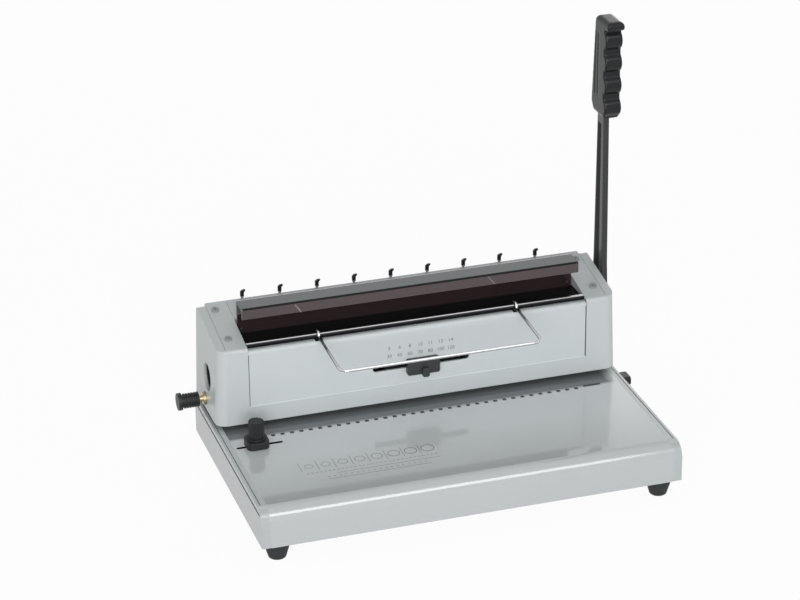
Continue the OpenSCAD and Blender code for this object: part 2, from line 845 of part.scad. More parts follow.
module return_spring() {
    turn = [for (i = [0 : spring_turns * spring_rings])
        let (a = 360 * i / spring_rings)
        [spring_x + spring_pitch * a / 360, shaft_y + spring_r * cos(a), shaft_z + spring_r * sin(a)]];
    last = turn[len(turn) - 1];
    points = concat([turn[0] - [0, 0, spring_leg], turn[0] - [0, 0, spring_leg / 2]],
                    turn, [last - [0, spring_leg / 2, 0], last - [0, spring_leg, 0]]);
    color("darkgray") wire_sweep(points, spring_wire / 2, 6);
}

module main_shaft() {
    color("lightsteelblue")
        rod_x(-frame_out - 2 * collar_w, lever_x + bar_t + 1, shaft_y, shaft_z, shaft_d / 2);
}

// Collar that keeps the shaft's left end in place, and one that turns the spring's free leg with a peg
module shaft_collars() {
    inner_x = spring_end_x + spring_wire / 2 + seam;
    leg_y = shaft_y - spring_leg + 2;
    leg_z = shaft_z + spring_r + spring_wire / 2;
    color("dimgray") {
        difference() {
            union() {
                rod_x(-frame_out - 1.5 * collar_w, -frame_out - collar_w / 4, shaft_y, shaft_z,
                      shaft_d / 2 + 4);
                rod_x(inner_x, inner_x + collar_w, shaft_y, shaft_z, spring_r + 2);
                block([inner_x, leg_y - peg_r, leg_z], [inner_x + collar_w, shaft_y, leg_z + 2 * peg_r]);
            }
            rod_x(-base_w, base_w, shaft_y, shaft_z, shaft_d / 2 + fit_clear);
        }
        rod_x(spring_end_x - spring_wire / 2, inner_x + collar_w, leg_y, leg_z + peg_r, peg_r);
    }
}

// Involute tooth flank: half of the tooth's angle at radius q
function involute(a) = tan(a) * 180 / PI - a;
function flank(q, rb, half) = half + involute(pressure) - involute(acos(min(1, rb / max(q, rb))));

module pinion_outline(teeth) {
    r = teeth * gear_m / 2;
    rb = r * cos(pressure);
    tip = r + addendum;
    root = r - dedendum;
    half = 90 / teeth - gear_slack / 4 / r * 180 / PI;
    radii = [root, rb, for (k = [1 : 4]) rb + (tip - rb) * k / 4];
    polygon([for (t = [0 : teeth - 1], side = [-1, 1], k = [0 : len(radii) - 1])
        let (q = radii[side < 0 ? k : len(radii) - 1 - k], a = 360 * t / teeth + side * flank(q, rb, half))
        q * [cos(a), sin(a)]]);
}

// Pinion on the shaft with its bore, its middle at x
module pinion(teeth, x) {
    translate([0, shaft_y, shaft_z]) difference() {
        along_x(x - gear_w / 2, x + gear_w / 2) pinion_outline(teeth);
        rod_x(x - gear_w, x + gear_w, 0, 0, shaft_d / 2 + fit_clear);
    }
}

// Teeth of an upright rack that face +Y, with a space level with the shaft
module rack_teeth(line_y, z0, z1) {
    pitch = PI * gear_m;
    half = (pitch - gear_slack) / 4;
    lean = tan(pressure);
    first = ceil((z0 - shaft_z) / pitch);
    last = floor((z1 - shaft_z) / pitch) - 1;
    for (k = [first : last]) translate([line_y, shaft_z + (k + 0.5) * pitch]) polygon([
        [-dedendum - 0.01, -half - dedendum * lean], [addendum, -half + addendum * lean],
        [addendum, half - addendum * lean], [-dedendum - 0.01, half + dedendum * lean]]);
}

module punch_pinions() {
    color("gray") both_sides() pinion(punch_teeth, punch_gear_x);
}

module jaw_pinions() {
    color("gray") both_sides() pinion(jaw_teeth, jaw_gear_x);
}

module lever_hub() {
    color("#26292b") difference() {
        union() {
            rod_x(wall_x(shaft_z) + 1, lever_x, shaft_y, shaft_z, eye_r);
            rod_x(lever_x - 0.01, lever_x + bar_t, shaft_y, shaft_z, boss_r);
        }
        rod_x(0, base_w, shaft_y, shaft_z, shaft_d / 2 + fit_clear);
    }
}

module lever_arm() {
    tip = lever_l - grip_l;
    color("#1b1d1f") difference() {
        along_x(lever_x, lever_x + bar_t) translate([shaft_y, shaft_z]) {
            circle(eye_r);
            translate([-bar_tip_w / 2, tip]) square([bar_tip_w, bar_in_grip]);
            polygon([[-eye_r * 0.9, eye_r * 0.4], [eye_r * 0.9, eye_r * 0.4], [bar_w / 2, 3 * eye_r],
                     [bar_tip_w / 2, tip], [-bar_tip_w / 2, tip], [-bar_w / 2, 3 * eye_r]]);
        }
        rod_x(0, base_w, shaft_y, shaft_z, boss_r + fit_clear);
    }
}

// The grip seen from its side: a row of finger swells, a head that stands out, a slanting back
module grip_side() {
    z1 = shaft_z + lever_l;
    head_h = 9;
    head_out = 4.5;
    back_low = shaft_y + bar_tip_w / 2 + 4;
    back_top = shaft_y + bar_tip_w / 2 - 3;
    pitch = (grip_l - head_h) / grip_swells;
    swell_r = (pitch * pitch / 7 + swell_depth * swell_depth) / (2 * swell_depth);
    polygon([[grip_front + swell_depth, grip_low], [shaft_y + bar_tip_w / 2 - 2, grip_low],
             [back_low, grip_low + 10], [back_top, z1 - 5], [back_top - 4, z1],
             [grip_front + swell_depth, z1]]);
    intersection() {
        translate([grip_front, grip_low]) square([grip_reach, grip_l]);
        for (k = [0 : grip_swells - 1])
            translate([grip_front + swell_r, grip_low + (k + 0.5) * pitch]) circle(swell_r);
    }
    translate([grip_front - head_out + head_h / 2, z1 - head_h / 2]) circle(head_h / 2);
    translate([grip_front - head_out + head_h / 2, z1 - head_h]) square([grip_reach / 2, head_h]);
}

module lever_grip() {
    middle = lever_x + bar_t / 2;
    groove_t = 0.8;
    groove_y = shaft_y - 1;
    color("#1b1d1f") difference() {
        intersection() {
            along_x(middle - grip_w / 2, middle + grip_w / 2) grip_side();
            along_y(0, base_d) translate([middle, grip_low + grip_l / 2]) rounded(grip_w, grip_l, 4);
            translate([middle, shaft_y, grip_low - cut]) linear_extrude(grip_l + 2 * cut)
                rounded(grip_w, 3 * grip_reach, 3);
        }
        block([lever_x - fit_clear, shaft_y - bar_tip_w / 2 - fit_clear, grip_low - cut],
              [lever_x + bar_t + fit_clear, shaft_y + bar_tip_w / 2 + fit_clear,
               grip_low + bar_in_grip + 0.1]);
        along_x(middle - grip_w / 2 - cut, middle - grip_w / 2 + groove_t)
            for (dy = [-3.2, 3.2]) translate([groove_y + dy, grip_low + grip_l / 2 + 2])
                rounded(2.4, grip_l * 0.66, 1.15);
    }
}

module hub_cap() {
    x0 = lever_x + bar_t;
    color("#26292b") difference() {
        union() {
            rod_x(x0, x0 + cap_h - 1.5, shaft_y, shaft_z, boss_r + 3);
            rod_x(x0, x0 + cap_h, shaft_y, shaft_z, boss_r + 1);
        }
        rod_x(lever_x, lever_x + bar_t + 1 + fit_clear, shaft_y, shaft_z, shaft_d / 2 + fit_clear);
    }
}

module punch_bar() {
    color("slategray") difference() {
        block([-bar_half, bar_front, bar_z], [bar_half, bar_back, bar_top]);
        both_sides() translate([pillar_x, pillar_y, bar_z - cut])
            cylinder(h = punch_bar_h + 2 * cut, r = pillar_d / 2 + run_clear);
    }
}

module punch_pins() {
    color("lightsteelblue") hole_row(pin_tip_z, bar_z, pin_w);
}

module punch_racks() {
    front = bar_front + 2;
    top = shaft_z + punch_stroke + 7;
    color("gray") both_sides() along_x(punch_gear_x - gear_w / 2, punch_gear_x + gear_w / 2) {
        translate([front, bar_top]) square([punch_rack_y - dedendum - front, top - bar_top]);
        rack_teeth(punch_rack_y, bar_top, top);
    }
}

// Dark L-shaped jaw: an upright plate with a flange towards the front
module upper_jaw() {
    r = jaw_t * 0.8;
    top = flange_z + jaw_t;
    lip_y = jaw_front - jaw_reach;
    color("#3a2426") difference() {
        along_x(-jaw_half, jaw_half) {
            translate([jaw_front, jaw_low]) square([jaw_t, top - r - jaw_low]);
            translate([lip_y + r, flange_z]) square([jaw_back - lip_y - 2 * r, jaw_t]);
            translate([lip_y, lip_z]) square([jaw_t, top - r - lip_z]);
            for (y = [lip_y + r, jaw_back - r]) translate([y, top - r]) circle(r);
        }
        for (p = jaw_screw_places)
            rod_y_dir(jaw_front - cut, jaw_back + cut, p[0], p[1], jaw_screw_r + 0.1);
    }
}

jaw_screw_r = 1.5;
jaw_screw_places = [for (sx = [-1, 1]) [sx * jaw_gear_x, jaw_low + 8]];

module jaw_racks() {
    color("gray") difference() {
        both_sides() along_x(jaw_gear_x - gear_w / 2, jaw_gear_x + gear_w / 2) {
            translate([jaw_back, jaw_rack_low]) square([rack_body, jaw_rack_top - jaw_rack_low]);
            rack_teeth(jaw_rack_y, jaw_rack_low, shaft_z + jaw_stroke + 7);
        }
        for (p = jaw_screw_places)
            rod_y_dir(jaw_back - cut, jaw_back + 2 * rack_body, p[0], p[1], jaw_screw_r + 0.1);
    }
}

arm_h = 6;

// Arm under the lower jaw that comes down over the selector's gauge
module jaw_stop_arm() {
    arm_w = 10;
    color("gray") block([selector_x - arm_w / 2, panel_y + panel_t + 1, jaw_low - arm_h],
                        [selector_x + arm_w / 2, jaw_back, jaw_low]);
}

module jaw_screws() {
    color("darkgray") for (p = jaw_screw_places) {
        rod_y_dir(jaw_front + 0.5, jaw_back + rack_body, p[0], p[1], jaw_screw_r);
        rod_y_dir(jaw_back + rack_body, jaw_back + rack_body + 1.6, p[0], p[1], jaw_screw_r + 1.2);
    }
}

// Slider block with a finger tab and a stem that runs in the slot
module selector_slider() {
    face = panel_y - 0.2;
    tab_w = 7;
    color("#3f4446") {
        along_y(face - slider_t, face) translate([selector_x + 0.8, selector_z - 1.5])
            rounded(slider_w, slider_h, 2);
        along_y(face - slider_t - 4, face - slider_t + 0.01)
            translate([selector_x + 2, selector_z - slider_h / 2 + 1.5]) rounded(tab_w, slider_h * 0.6, 2);
        block([selector_x - stem_w / 2, face - 0.01, selector_z - slot_h / 2 + 0.2],
              [selector_x + stem_w / 2, panel_y + panel_t + 0.2 + gauge_t, selector_z + slot_h / 2 - 0.2]);
    }
}

module selector_gauge() {
    y0 = panel_y + panel_t + 0.2;
    low = strip_top + 7;
    high = jaw_low - arm_h - jaw_stroke - free_gap;
    step = (high - selector_z - slot_h / 2 - 0.5) / gauge_steps;
    left = selector_x - gauge_steps * gauge_pitch / 2;
    color("darkgray") difference() {
        for (k = [0 : gauge_steps - 1])
            block([left + k * gauge_pitch, y0, low],
                  [left + (k + 1) * gauge_pitch, y0 + gauge_t, high - k * step]);
        block([selector_x - stem_w / 2 - fit_clear, y0 - cut, selector_z - slot_h / 2 + 0.18],
              [selector_x + stem_w / 2 + fit_clear, y0 + gauge_t + cut, selector_z + slot_h / 2 - 0.18]);
    }
}

module edge_guide() {
    z0 = deck_z + guide_clear;
    stem_l = guide_w * 0.38;
    color("#1f2223") difference() {
        union() {
            translate([guide_x, guide_y, z0]) linear_extrude(guide_h) rounded(guide_w, guide_d, 6);
            translate([guide_x, guide_y, deck_z - base_sheet - guide_clear])
                linear_extrude(base_sheet + 2 * guide_clear + 0.01)
                    square([stem_l, guide_slot_w - 0.4], center = true);
        }
        translate([guide_x, guide_y, z0 + 2]) cylinder(h = guide_h, r = knob_stem_r + run_clear);
    }
}

knob_stem_r = 2.5;

module guide_clamp_plate() {
    plate_t = 2;
    top = deck_z - base_sheet - guide_clear;
    color("darkgray") block([guide_x - guide_w * 0.4, guide_y - guide_d * 0.4, top - plate_t],
                            [guide_x + guide_w * 0.4, guide_y + guide_d * 0.4, top]);
}

// Fluted clamp knob on a short stem
module guide_knob() {
    z0 = deck_z + guide_clear + guide_h;
    flutes = 14;
    color("#1f2223") translate([guide_x, guide_y, 0]) {
        translate([0, 0, z0 - guide_h + 2.5]) cylinder(h = guide_h, r = knob_stem_r);
        translate([0, 0, z0 + guide_clear]) cylinder(h = knob_foot_h, r = guide_knob_d / 2 + 1.5);
        translate([0, 0, z0 + knob_foot_h]) linear_extrude(guide_knob_h - knob_foot_h) difference() {
            circle(guide_knob_d / 2);
            for (k = [0 : flutes - 1]) rotate(360 * k / flutes)
                translate([guide_knob_d / 2 + 0.5, 0]) circle(1.3);
        }
    }
}

// Wire bail with an eye round the rod at each end
module paper_bail() {
    r = bail_d / 2;
    eye = rod_d / 2 + run_clear + r;
    leg = bail_l - bail_bend;
    color("gainsboro") translate([0, rod_y, rod_z]) rotate([bail_droop, 0, 0]) {
        both_sides() {
            translate([bail_w / 2, 0, 0]) rotate([0, 90, 0]) rotate_extrude() translate([eye, 0]) circle(r);
            translate([bail_w / 2, -leg, 0]) rotate([-90, 0, 0]) cylinder(h = leg - eye, r = r);
            translate([bail_w / 2 - bail_bend, -leg, 0]) rotate([0, 0, -90])
                rotate_extrude(angle = 90) translate([bail_bend, 0]) circle(r);
        }
        rod_x(-bail_w / 2 + bail_bend, bail_w / 2 - bail_bend, -bail_l, 0, r);
    }
}

// Open tray whose right end closes the gap in the side plate
module chip_drawer() {
    w = drawer_wall;
    top = drawer_z + drawer_h;
    color("#25282a") difference() {
        block([drawer_left, drawer_front, drawer_z], [side_x, drawer_back, top]);
        block([drawer_left + w, drawer_front + w, drawer_z + w],
              [side_x - base_sheet - w, drawer_back - w, top + cut]);
    }
}

module drawer_handle() {
    handle_w = 17;
    handle_h = 9;
    handle_y = (drawer_front + drawer_back) / 2;
    handle_z = drawer_z + drawer_h / 2 + 3;
    lip = 2.5;
    color("#1b1d1f") difference() {
        translate([0, handle_y, handle_z]) along_x(side_x, side_x + handle_reach)
            rounded(handle_w, handle_h, 3);
        block([side_x + 2, handle_y - handle_w / 2 + lip, handle_z - handle_h],
              [side_x + handle_reach - lip, handle_y + handle_w / 2 - lip, handle_z + handle_h / 2 - lip]);
    }
}

// Block on the end of the screw with a finger down into the throat
module side_stop() {
    block_w = 12;
    r = stop_screw_d / 2 + run_clear;
    low = stripper_top + free_gap;
    wall = 1.5;
    top = stop_z + r + wall;
    color("dimgray") difference() {
        union() {
            block([stop_face_x - block_w, stop_y - r - wall, low],
                  [stop_face_x - 1, stop_y + r + wall, top]);
            block([stop_face_x - 5, stop_y - 3, deck_z + free_gap], [stop_face_x, stop_y + 3, low + 1]);
        }
        rod_x(stop_face_x - block_w - cut, stop_face_x - 4, stop_y, stop_z, r);
    }
}

module stop_screw() {
    color("goldenrod") rod_x(-wall_x(stop_z) - bush_out - knob_gap - stop_knob_l * 0.7, stop_face_x - 4.2,
                             stop_y, stop_z, stop_screw_d / 2);
}

// Ribbed knob with a wider rim at its outer end
module stop_knob() {
    pitch = (stop_knob_l - 5) / stop_knob_ribs;
    r = stop_knob_d / 2;
    x0 = -wall_x(stop_z) - bush_out - knob_gap;
    color("#1b1d1f") translate([x0, stop_y, stop_z]) rotate([0, -90, 0]) difference() {
        union() {
            cylinder(h = stop_knob_l - 1, r = r - 1);
            for (k = [0 : stop_knob_ribs - 1])
                translate([0, 0, k * pitch]) cylinder(h = pitch * 0.62, r = r);
            translate([0, 0, stop_knob_l - 4]) cylinder(h = 4, r = r + 1.2);
        }
        translate([0, 0, -cut])
            cylinder(h = stop_knob_l * 0.7 + cut + 0.1, r = stop_screw_d / 2 + fit_clear);
    }
}

base_deck();
base_left_side();
base_right_side();
base_pan();
rubber_feet();
foot_screws();
main_casing();
front_panel();
rear_cover();
hook_rail();
wire_hooks();
casing_screws();
rear_cover_screws();
left_frame_plate();
right_frame_plate();
frame_tie_rods();
frame_screws();
shaft_bushes();
die_plate();
die_spacer();
stripper_plate();
guide_pillars();
paper_guide_plate();
lower_jaw();
lower_jaw_rod();
drawer_runners();
stop_screw_bush();
return_spring();
main_shaft();
shaft_collars();
punch_pinions();
jaw_pinions();
lever_hub();
lever_arm();
lever_grip();
hub_cap();
punch_bar();
punch_pins();
punch_racks();
upper_jaw();
jaw_racks();
jaw_stop_arm();
jaw_screws();
selector_slider();
selector_gauge();
edge_guide();
guide_clamp_plate();
guide_knob();
paper_bail();
chip_drawer();
drawer_handle();
side_stop();
stop_screw();
stop_knob();
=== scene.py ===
import json
from math import cos, pi, radians, sin

import bmesh
import bpy
from mathutils import Matrix, Vector


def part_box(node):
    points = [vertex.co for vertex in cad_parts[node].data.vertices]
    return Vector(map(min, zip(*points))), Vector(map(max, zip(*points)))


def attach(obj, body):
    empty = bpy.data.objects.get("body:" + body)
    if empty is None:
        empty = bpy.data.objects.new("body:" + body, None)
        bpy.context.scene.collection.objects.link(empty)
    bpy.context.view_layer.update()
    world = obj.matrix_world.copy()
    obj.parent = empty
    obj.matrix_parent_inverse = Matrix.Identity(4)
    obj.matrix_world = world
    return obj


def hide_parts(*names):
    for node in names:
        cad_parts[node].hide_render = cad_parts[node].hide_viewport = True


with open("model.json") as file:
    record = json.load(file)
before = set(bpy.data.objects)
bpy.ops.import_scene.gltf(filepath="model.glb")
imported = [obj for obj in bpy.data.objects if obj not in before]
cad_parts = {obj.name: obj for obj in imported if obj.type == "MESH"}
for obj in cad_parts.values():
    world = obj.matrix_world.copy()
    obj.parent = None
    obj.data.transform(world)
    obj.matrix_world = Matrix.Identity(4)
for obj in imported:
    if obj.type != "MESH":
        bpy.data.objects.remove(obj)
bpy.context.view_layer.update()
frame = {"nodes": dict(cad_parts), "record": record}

# Camera: a long lens on a tripod, in front of the machine, a little to its left and above it.
# Its place and turn were fitted to the machine's width, depth and height.
camera_place, focal_length, film_width = (-0.7684, -2.3332, 1.3314), 128.27, 36
camera_azimuth, camera_height, camera_roll = radians(-17.48), radians(25.02), radians(-0.58)
level_share = cos(camera_height)
across = Vector((cos(camera_azimuth), sin(camera_azimuth), 0))
backward = Vector((sin(camera_azimuth) * level_share, -cos(camera_azimuth) * level_share,
                   sin(camera_height)))
upright = backward.cross(across)
lens = bpy.data.cameras.new("camera")
lens.sensor_width = film_width
lens.lens = focal_length
lens.clip_end = 20
camera = bpy.data.objects.new("camera", lens)
camera_turn = Matrix((cos(camera_roll) * across + sin(camera_roll) * upright,
                      cos(camera_roll) * upright - sin(camera_roll) * across, backward)).transposed()
camera.matrix_world = Matrix.Translation(camera_place) @ camera_turn.to_4x4()
bpy.context.collection.objects.link(camera)
bpy.context.scene.camera = camera
bpy.context.scene.view_settings.view_transform = "Standard"


# Studio: a white sweep under and behind the machine, and soft light from large panels, the strongest
# in front. One more shows only as a bright line along glossy edges. What the lens, the polished metal
# and the smoked plate see of the room is plain white.
class Shade:
    """An output socket of a node tree. Sums, differences and products of values become Math nodes."""

    def __init__(self, tree, socket):
        self.tree, self.socket = tree, socket

    def node(self, kind, inputs, output=0, **settings):
        new = self.tree.nodes.new(kind)
        for key, value in settings.items():
            setattr(new, key, value)
        for key, value in inputs.items():
            if isinstance(value, Shade):
                self.tree.links.new(value.socket, new.inputs[key])
            else:
                new.inputs[key].default_value = value
        return Shade(self.tree, new.outputs[output] if len(new.outputs) else None)

    def math(self, operation, a, b):
        clamped = operation == "MINIMUM"
        return self.node("ShaderNodeMath", {0: a, 1: b}, operation=operation, use_clamp=clamped)

    def __add__(self, other):
        return self.math("ADD", self, other)

    def __mul__(self, other):
        return self.math("MULTIPLY", self, other)

    def __sub__(self, other):
        return self.math("SUBTRACT", self, other)

    def __rsub__(self, other):
        return self.math("SUBTRACT", other, self)

    __radd__, __rmul__ = __add__, __mul__


def seen_rays(socket):
    """1 for the rays that show the room itself, and 0 for those that light the machine."""
    rays = [socket.node("ShaderNodeLightPath", {}, title)
            for title in ("Is Camera Ray", "Is Glossy Ray", "Is Transmission Ray")]
    return socket.math("MINIMUM", rays[0] + rays[1] + rays[2], 1.0)


floor_mesh = bpy.data.meshes.new("floor")
sweep = 6
floor_mesh.from_pydata([(-sweep, -sweep, 0), (sweep, -sweep, 0), (sweep, sweep, 0), (-sweep, sweep, 0)],
                       [], [(0, 1, 2, 3)])
floor = bpy.data.objects.new("floor", floor_mesh)
bpy.context.collection.objects.link(floor)
floor_paint = bpy.data.materials.new("floor")
floor_paint.use_nodes = True
floor_tree = floor_paint.node_tree
floor_shader = floor_tree.nodes["Principled BSDF"]
floor_shader.inputs["Base Color"].default_value = (0.93, 0.93, 0.93, 1)
floor_shader.inputs["Roughness"].default_value = 0.9
floor_shader.inputs["Specular IOR Level"].default_value = 0.1
matt = Shade(floor_tree, floor_shader.outputs[0])
white = matt.node("ShaderNodeEmission", {"Color": (1, 1, 1, 1), "Strength": 1.0})
shown = matt.node("ShaderNodeMixShader", {0: seen_rays(matt) * 0.95, 1: matt, 2: white})
floor_tree.links.new(shown.socket, floor_tree.nodes["Material Output"].inputs["Surface"])
floor_mesh.materials.append(floor_paint)

world = bpy.data.worlds.new("studio")
world.use_nodes = True
bpy.context.scene.world = world
room_light = 0.44
sky_node = world.node_tree.nodes["Background"]
sky = Shade(world.node_tree, sky_node.outputs[0])
brightness = room_light + seen_rays(sky) * (1.0 - room_light)
world.node_tree.links.new(brightness.socket, sky_node.inputs["Strength"])
sky_node.inputs["Color"].default_value = (1, 1, 1, 1)


def softbox(name, place, size, power):
    """A large panel of soft light, turned to the middle of the machine."""
    light = bpy.data.lights.new(name, "AREA")
    light.shape, light.size, light.size_y, light.energy = "RECTANGLE", size[0], size[1], power
    lamp = bpy.data.objects.new(name, light)
    aim = (Vector((0, 0, 0.1)) - Vector(place)).to_track_quat("-Z", "Y").to_matrix().to_4x4()
    lamp.matrix_world = Matrix.Translation(place) @ aim
    bpy.context.collection.objects.link(lamp)
    return lamp


softbox("front_panel_light", (-0.8, -2.6, 0.85), (1.8, 1.0), 44)
softbox("right_panel_light", (2.0, -1.2, 0.8), (1.2, 1.2), 3)
softbox("top_panel_light", (0.2, 0.4, 2.2), (2.0, 1.4), 2)
softbox("back_panel_light", (0.9, 2.6, 0.7), (1.8, 1.0), 12)
softbox("gloss_light", (-0.2, -1.5, 1.7), (2.4, 0.7), 26).visible_diffuse = False


# Base: a deck of steel sheet rolled down at the front, with a plate welded on at each side.
# All three are sprayed with a glossy light grey enamel, which thins out and wears at the edges.
def coordinates(made):
    """Where a point of a piece lies, in the frame that all pieces share."""
    return Shade(made.node_tree, None).node("ShaderNodeTexCoord", {}, "Object")


def surface(name, colour, other, roughness, mottle, grain, bump, stretch=(1, 1, 1), worn=None, **fixed):
    """Material whose colour wanders between two tones, whose gloss and skin follow a fine grain,
    and which shows a third tone where its edges are rubbed."""
    made = bpy.data.materials.new(name)
    made.use_nodes = True
    tree = made.node_tree
    shader = tree.nodes["Principled BSDF"]
    place = coordinates(made)
    place = place.node("ShaderNodeMapping", {"Vector": place, "Scale": stretch})
    patches, fine = (place.node("ShaderNodeTexNoise", {"Vector": place, "Scale": scale, "Detail": detail,
                                                       "Roughness": rough})
                     for scale, detail, rough in ((mottle, 4.0, 0.6), (grain, 3.0, 0.5)))
    tone = place.node("ShaderNodeMix", {0: patches, 6: (*colour, 1), 7: (*other, 1)}, 2, data_type="RGBA")
    if worn:
        rub_width, rub_strength, rub_limit = 0.0006, 4.0, 0.6
        flat = place.node("ShaderNodeNewGeometry", {}, "Normal")
        turned = flat.node("ShaderNodeBevel", {"Radius": rub_width}, samples=4)
        facing = flat.node("ShaderNodeVectorMath", {0: flat, 1: turned}, 1, operation="DOT_PRODUCT")
        rubbed = flat.math("MINIMUM", (1.0 - facing) * (rub_strength * patches), rub_limit)
        tone = place.node("ShaderNodeMix", {0: rubbed, 6: tone, 7: (*worn, 1)}, 2, data_type="RGBA")
    gloss = roughness[0] + (roughness[1] - roughness[0]) * (0.5 * patches + 0.5 * fine)
    skin_depth = 0.0002
    skin = place.node("ShaderNodeBump", {"Height": fine, "Strength": bump, "Distance": skin_depth})
    tree.links.new(tone.socket, shader.inputs["Base Color"])
    tree.links.new(gloss.socket, shader.inputs["Roughness"])
    tree.links.new(skin.socket, shader.inputs["Normal"])
    for key, value in fixed.items():
        shader.inputs[key.replace("_", " ")].default_value = value
    return made


def home(piece, node):
    """Lets a new piece move with a CAD node's body."""
    record = frame["record"]
    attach(piece, next(body for body, names in record["behaviour"]["bodies"].items() if node in names))


def evaluated(piece):
    """The piece's mesh with its modifiers applied."""
    return bpy.data.meshes.new_from_object(piece.evaluated_get(bpy.context.evaluated_depsgraph_get()))


join_gap = 2e-6


def merged(node):
    """A copy of a CAD piece's mesh with its loose triangles joined."""
    shape = bmesh.new()
    shape.from_mesh(frame["nodes"][node].data)
    bmesh.ops.remove_doubles(shape, verts=shape.verts, dist=join_gap)
    mesh = bpy.data.meshes.new(node + "_finish")
    shape.to_mesh(mesh)
    shape.free()
    return mesh


flat_angle, corner_angle, sharp_angle = radians(0.4), radians(32), radians(48)


def dressed(node, made, width=0.0005, cutter=None):
    """A CAD piece with its outer edges rounded over and smooth shading, in the place of the plain one."""
    mesh = merged(node)
    piece = bpy.data.objects.new(node + "_finish", mesh)
    bpy.context.collection.objects.link(piece)
    shape = bmesh.new()
    shape.from_mesh(mesh)
    if cutter:
        trim = piece.modifiers.new("recess", "BOOLEAN")
        trim.object, trim.solver = cutter, "EXACT"
        shape.clear()
        shape.from_mesh(evaluated(piece))
        piece.modifiers.clear()
        bpy.data.objects.remove(cutter)
        bmesh.ops.remove_doubles(shape, verts=shape.verts, dist=join_gap)
    bmesh.ops.dissolve_limit(shape, angle_limit=flat_angle, verts=shape.verts, edges=shape.edges)
    outer = [edge for edge in shape.edges if edge.is_manifold and edge.is_convex
             and edge.calc_face_angle() > corner_angle]
    bmesh.ops.bevel(shape, geom=outer, offset=width, segments=3, profile=0.5,
                    affect="EDGES", clamp_overlap=True)
    shape.to_mesh(mesh)
    shape.free()
    mesh.shade_smooth()
    mesh.set_sharp_from_angle(angle=sharp_angle)
    even = piece.modifiers.new("even", "WEIGHTED_NORMAL")
    even.keep_sharp = True
    piece.data = evaluated(piece)
    piece.modifiers.clear()
    piece.data.materials.clear()
    piece.data.materials.append(made)
    home(piece, node)
    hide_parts(node)
    return piece


def beyond(place, axis, edge, blur):
    """0 below a level of one coordinate and 1 above it, with a soft step between."""
    level = place.node("ShaderNodeSeparateXYZ", {0: place}, axis)
    return place.math("MINIMUM", (level - edge) * (1.0 / blur) + 0.5, 1.0)


def toned(made, share, tone):
    """Mixes another tone into a material by a share between 0 and 1."""
    colour = made.node_tree.nodes["Principled BSDF"].inputs["Base Color"]
    under = Shade(made.node_tree, colour.links[0].from_socket)
    mixed = share.node("ShaderNodeMix", {0: share, 6: under, 7: (*tone, 1)}, 2, data_type="RGBA")
    made.node_tree.links.new(mixed.socket, colour)


def banded(made, axis, edge, blur, tone):
    """Gives a material a second tone above a level of one coordinate."""
    toned(made, beyond(coordinates(made), axis, edge, blur), tone)


deck_enamel = surface("deck_enamel", (0.445, 0.475, 0.485), (0.475, 0.50, 0.51), (0.16, 0.26),
                      5, 260, 0.008, worn=(0.55, 0.56, 0.57), Coat_Roughness=0.05)
# Painted light: the deck is painted lighter behind its rolled front edge, and a painted shadow of the
# casing, dark and matt, runs along the deck under the casing.
painted_light_from, painted_light_blur = -0.075, 0.09
banded(deck_enamel, "Y", painted_light_from, painted_light_blur, (0.63, 0.668, 0.676))
# Painted shadow of the casing on the deck: where it starts, where it ends at the right, and its back.
shadow_edge, shadow_blur, shadow_end, shadow_end_blur = 0.0217, 0.005, 0.194, 0.010
shadow_back, shadow_back_blur = 0.119, 0.002
place = coordinates(deck_enamel)
in_painted_shadow = beyond(place, "Y", shadow_edge, shadow_blur) * (1.0 - beyond(place, "X", shadow_end, shadow_end_blur))
in_painted_shadow = in_painted_shadow * (1.0 - beyond(place, "Y", shadow_back, shadow_back_blur))
toned(deck_enamel, in_painted_shadow, (0.165, 0.176, 0.183))
deck_shader = deck_enamel.node_tree.nodes["Principled BSDF"]
matt_share = 0.95
deck_enamel.node_tree.links.new((1.0 - matt_share * in_painted_shadow).socket, deck_shader.inputs["Coat Weight"])
# No light comes into the slot of the edge guide, so its cut edges look black.
deck_top, slot_y, slot_w, slot_blur, slot_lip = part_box("base_deck")[1][2], 0.0047, 0.006, 0.0001, 0.0002
in_slot = (beyond(place, "Y", slot_y - slot_w / 2, slot_blur)
           * (1.0 - beyond(place, "Y", slot_y + slot_w / 2, slot_blur)))
under_lip = 1.0 - beyond(place, "Z", deck_top - slot_lip, slot_lip)
toned(deck_enamel, in_slot * under_lip, (0.008, 0.008, 0.009))
side_enamel = surface("side_enamel", (0.44, 0.47, 0.48), (0.465, 0.49, 0.50), (0.2, 0.3), 6, 260, 0.01,
                      worn=(0.55, 0.56, 0.57), Coat_Weight=0.2, Coat_Roughness=0.1, Specular_IOR_Level=0.3)
# Painted light: the top of each side plate is painted a lighter tone than its outer face.
banded(side_enamel, "Z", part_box("base_left_side")[1][2] - 0.001, 0.0008, (0.56, 0.595, 0.605))
dressed("base_deck", deck_enamel, 0.0006)
dressed("base_left_side", side_enamel, 0.0006)
dressed("base_right_side", side_enamel, 0.0006)


# Seams of the deck: the gap to each side plate is filled and rubbed down flush before spraying, and
# the shade along the folded rim of each plate is painted as two fine dark lines, on its top and side.
def drawn_wire(name, points, radius, made):
    """A round wire along a path of points."""
    path_mesh = bpy.data.meshes.new(name)
    path_mesh.from_pydata(points, [(k, k + 1) for k in range(len(points) - 1)], [])
    piece = bpy.data.objects.new(name, path_mesh)
    bpy.context.collection.objects.link(piece)
    winding = piece.modifiers.new("winding", "NODES")
    winding.node_group = wound_wire
    for item in wound_wire.interface.items_tree:
        value = {"Wire radius": radius, "Finish": made}.get(item.name)
        if value is not None:
            winding[item.identifier] = value
    piece.data = evaluated(piece)
    piece.modifiers.clear()
    return piece


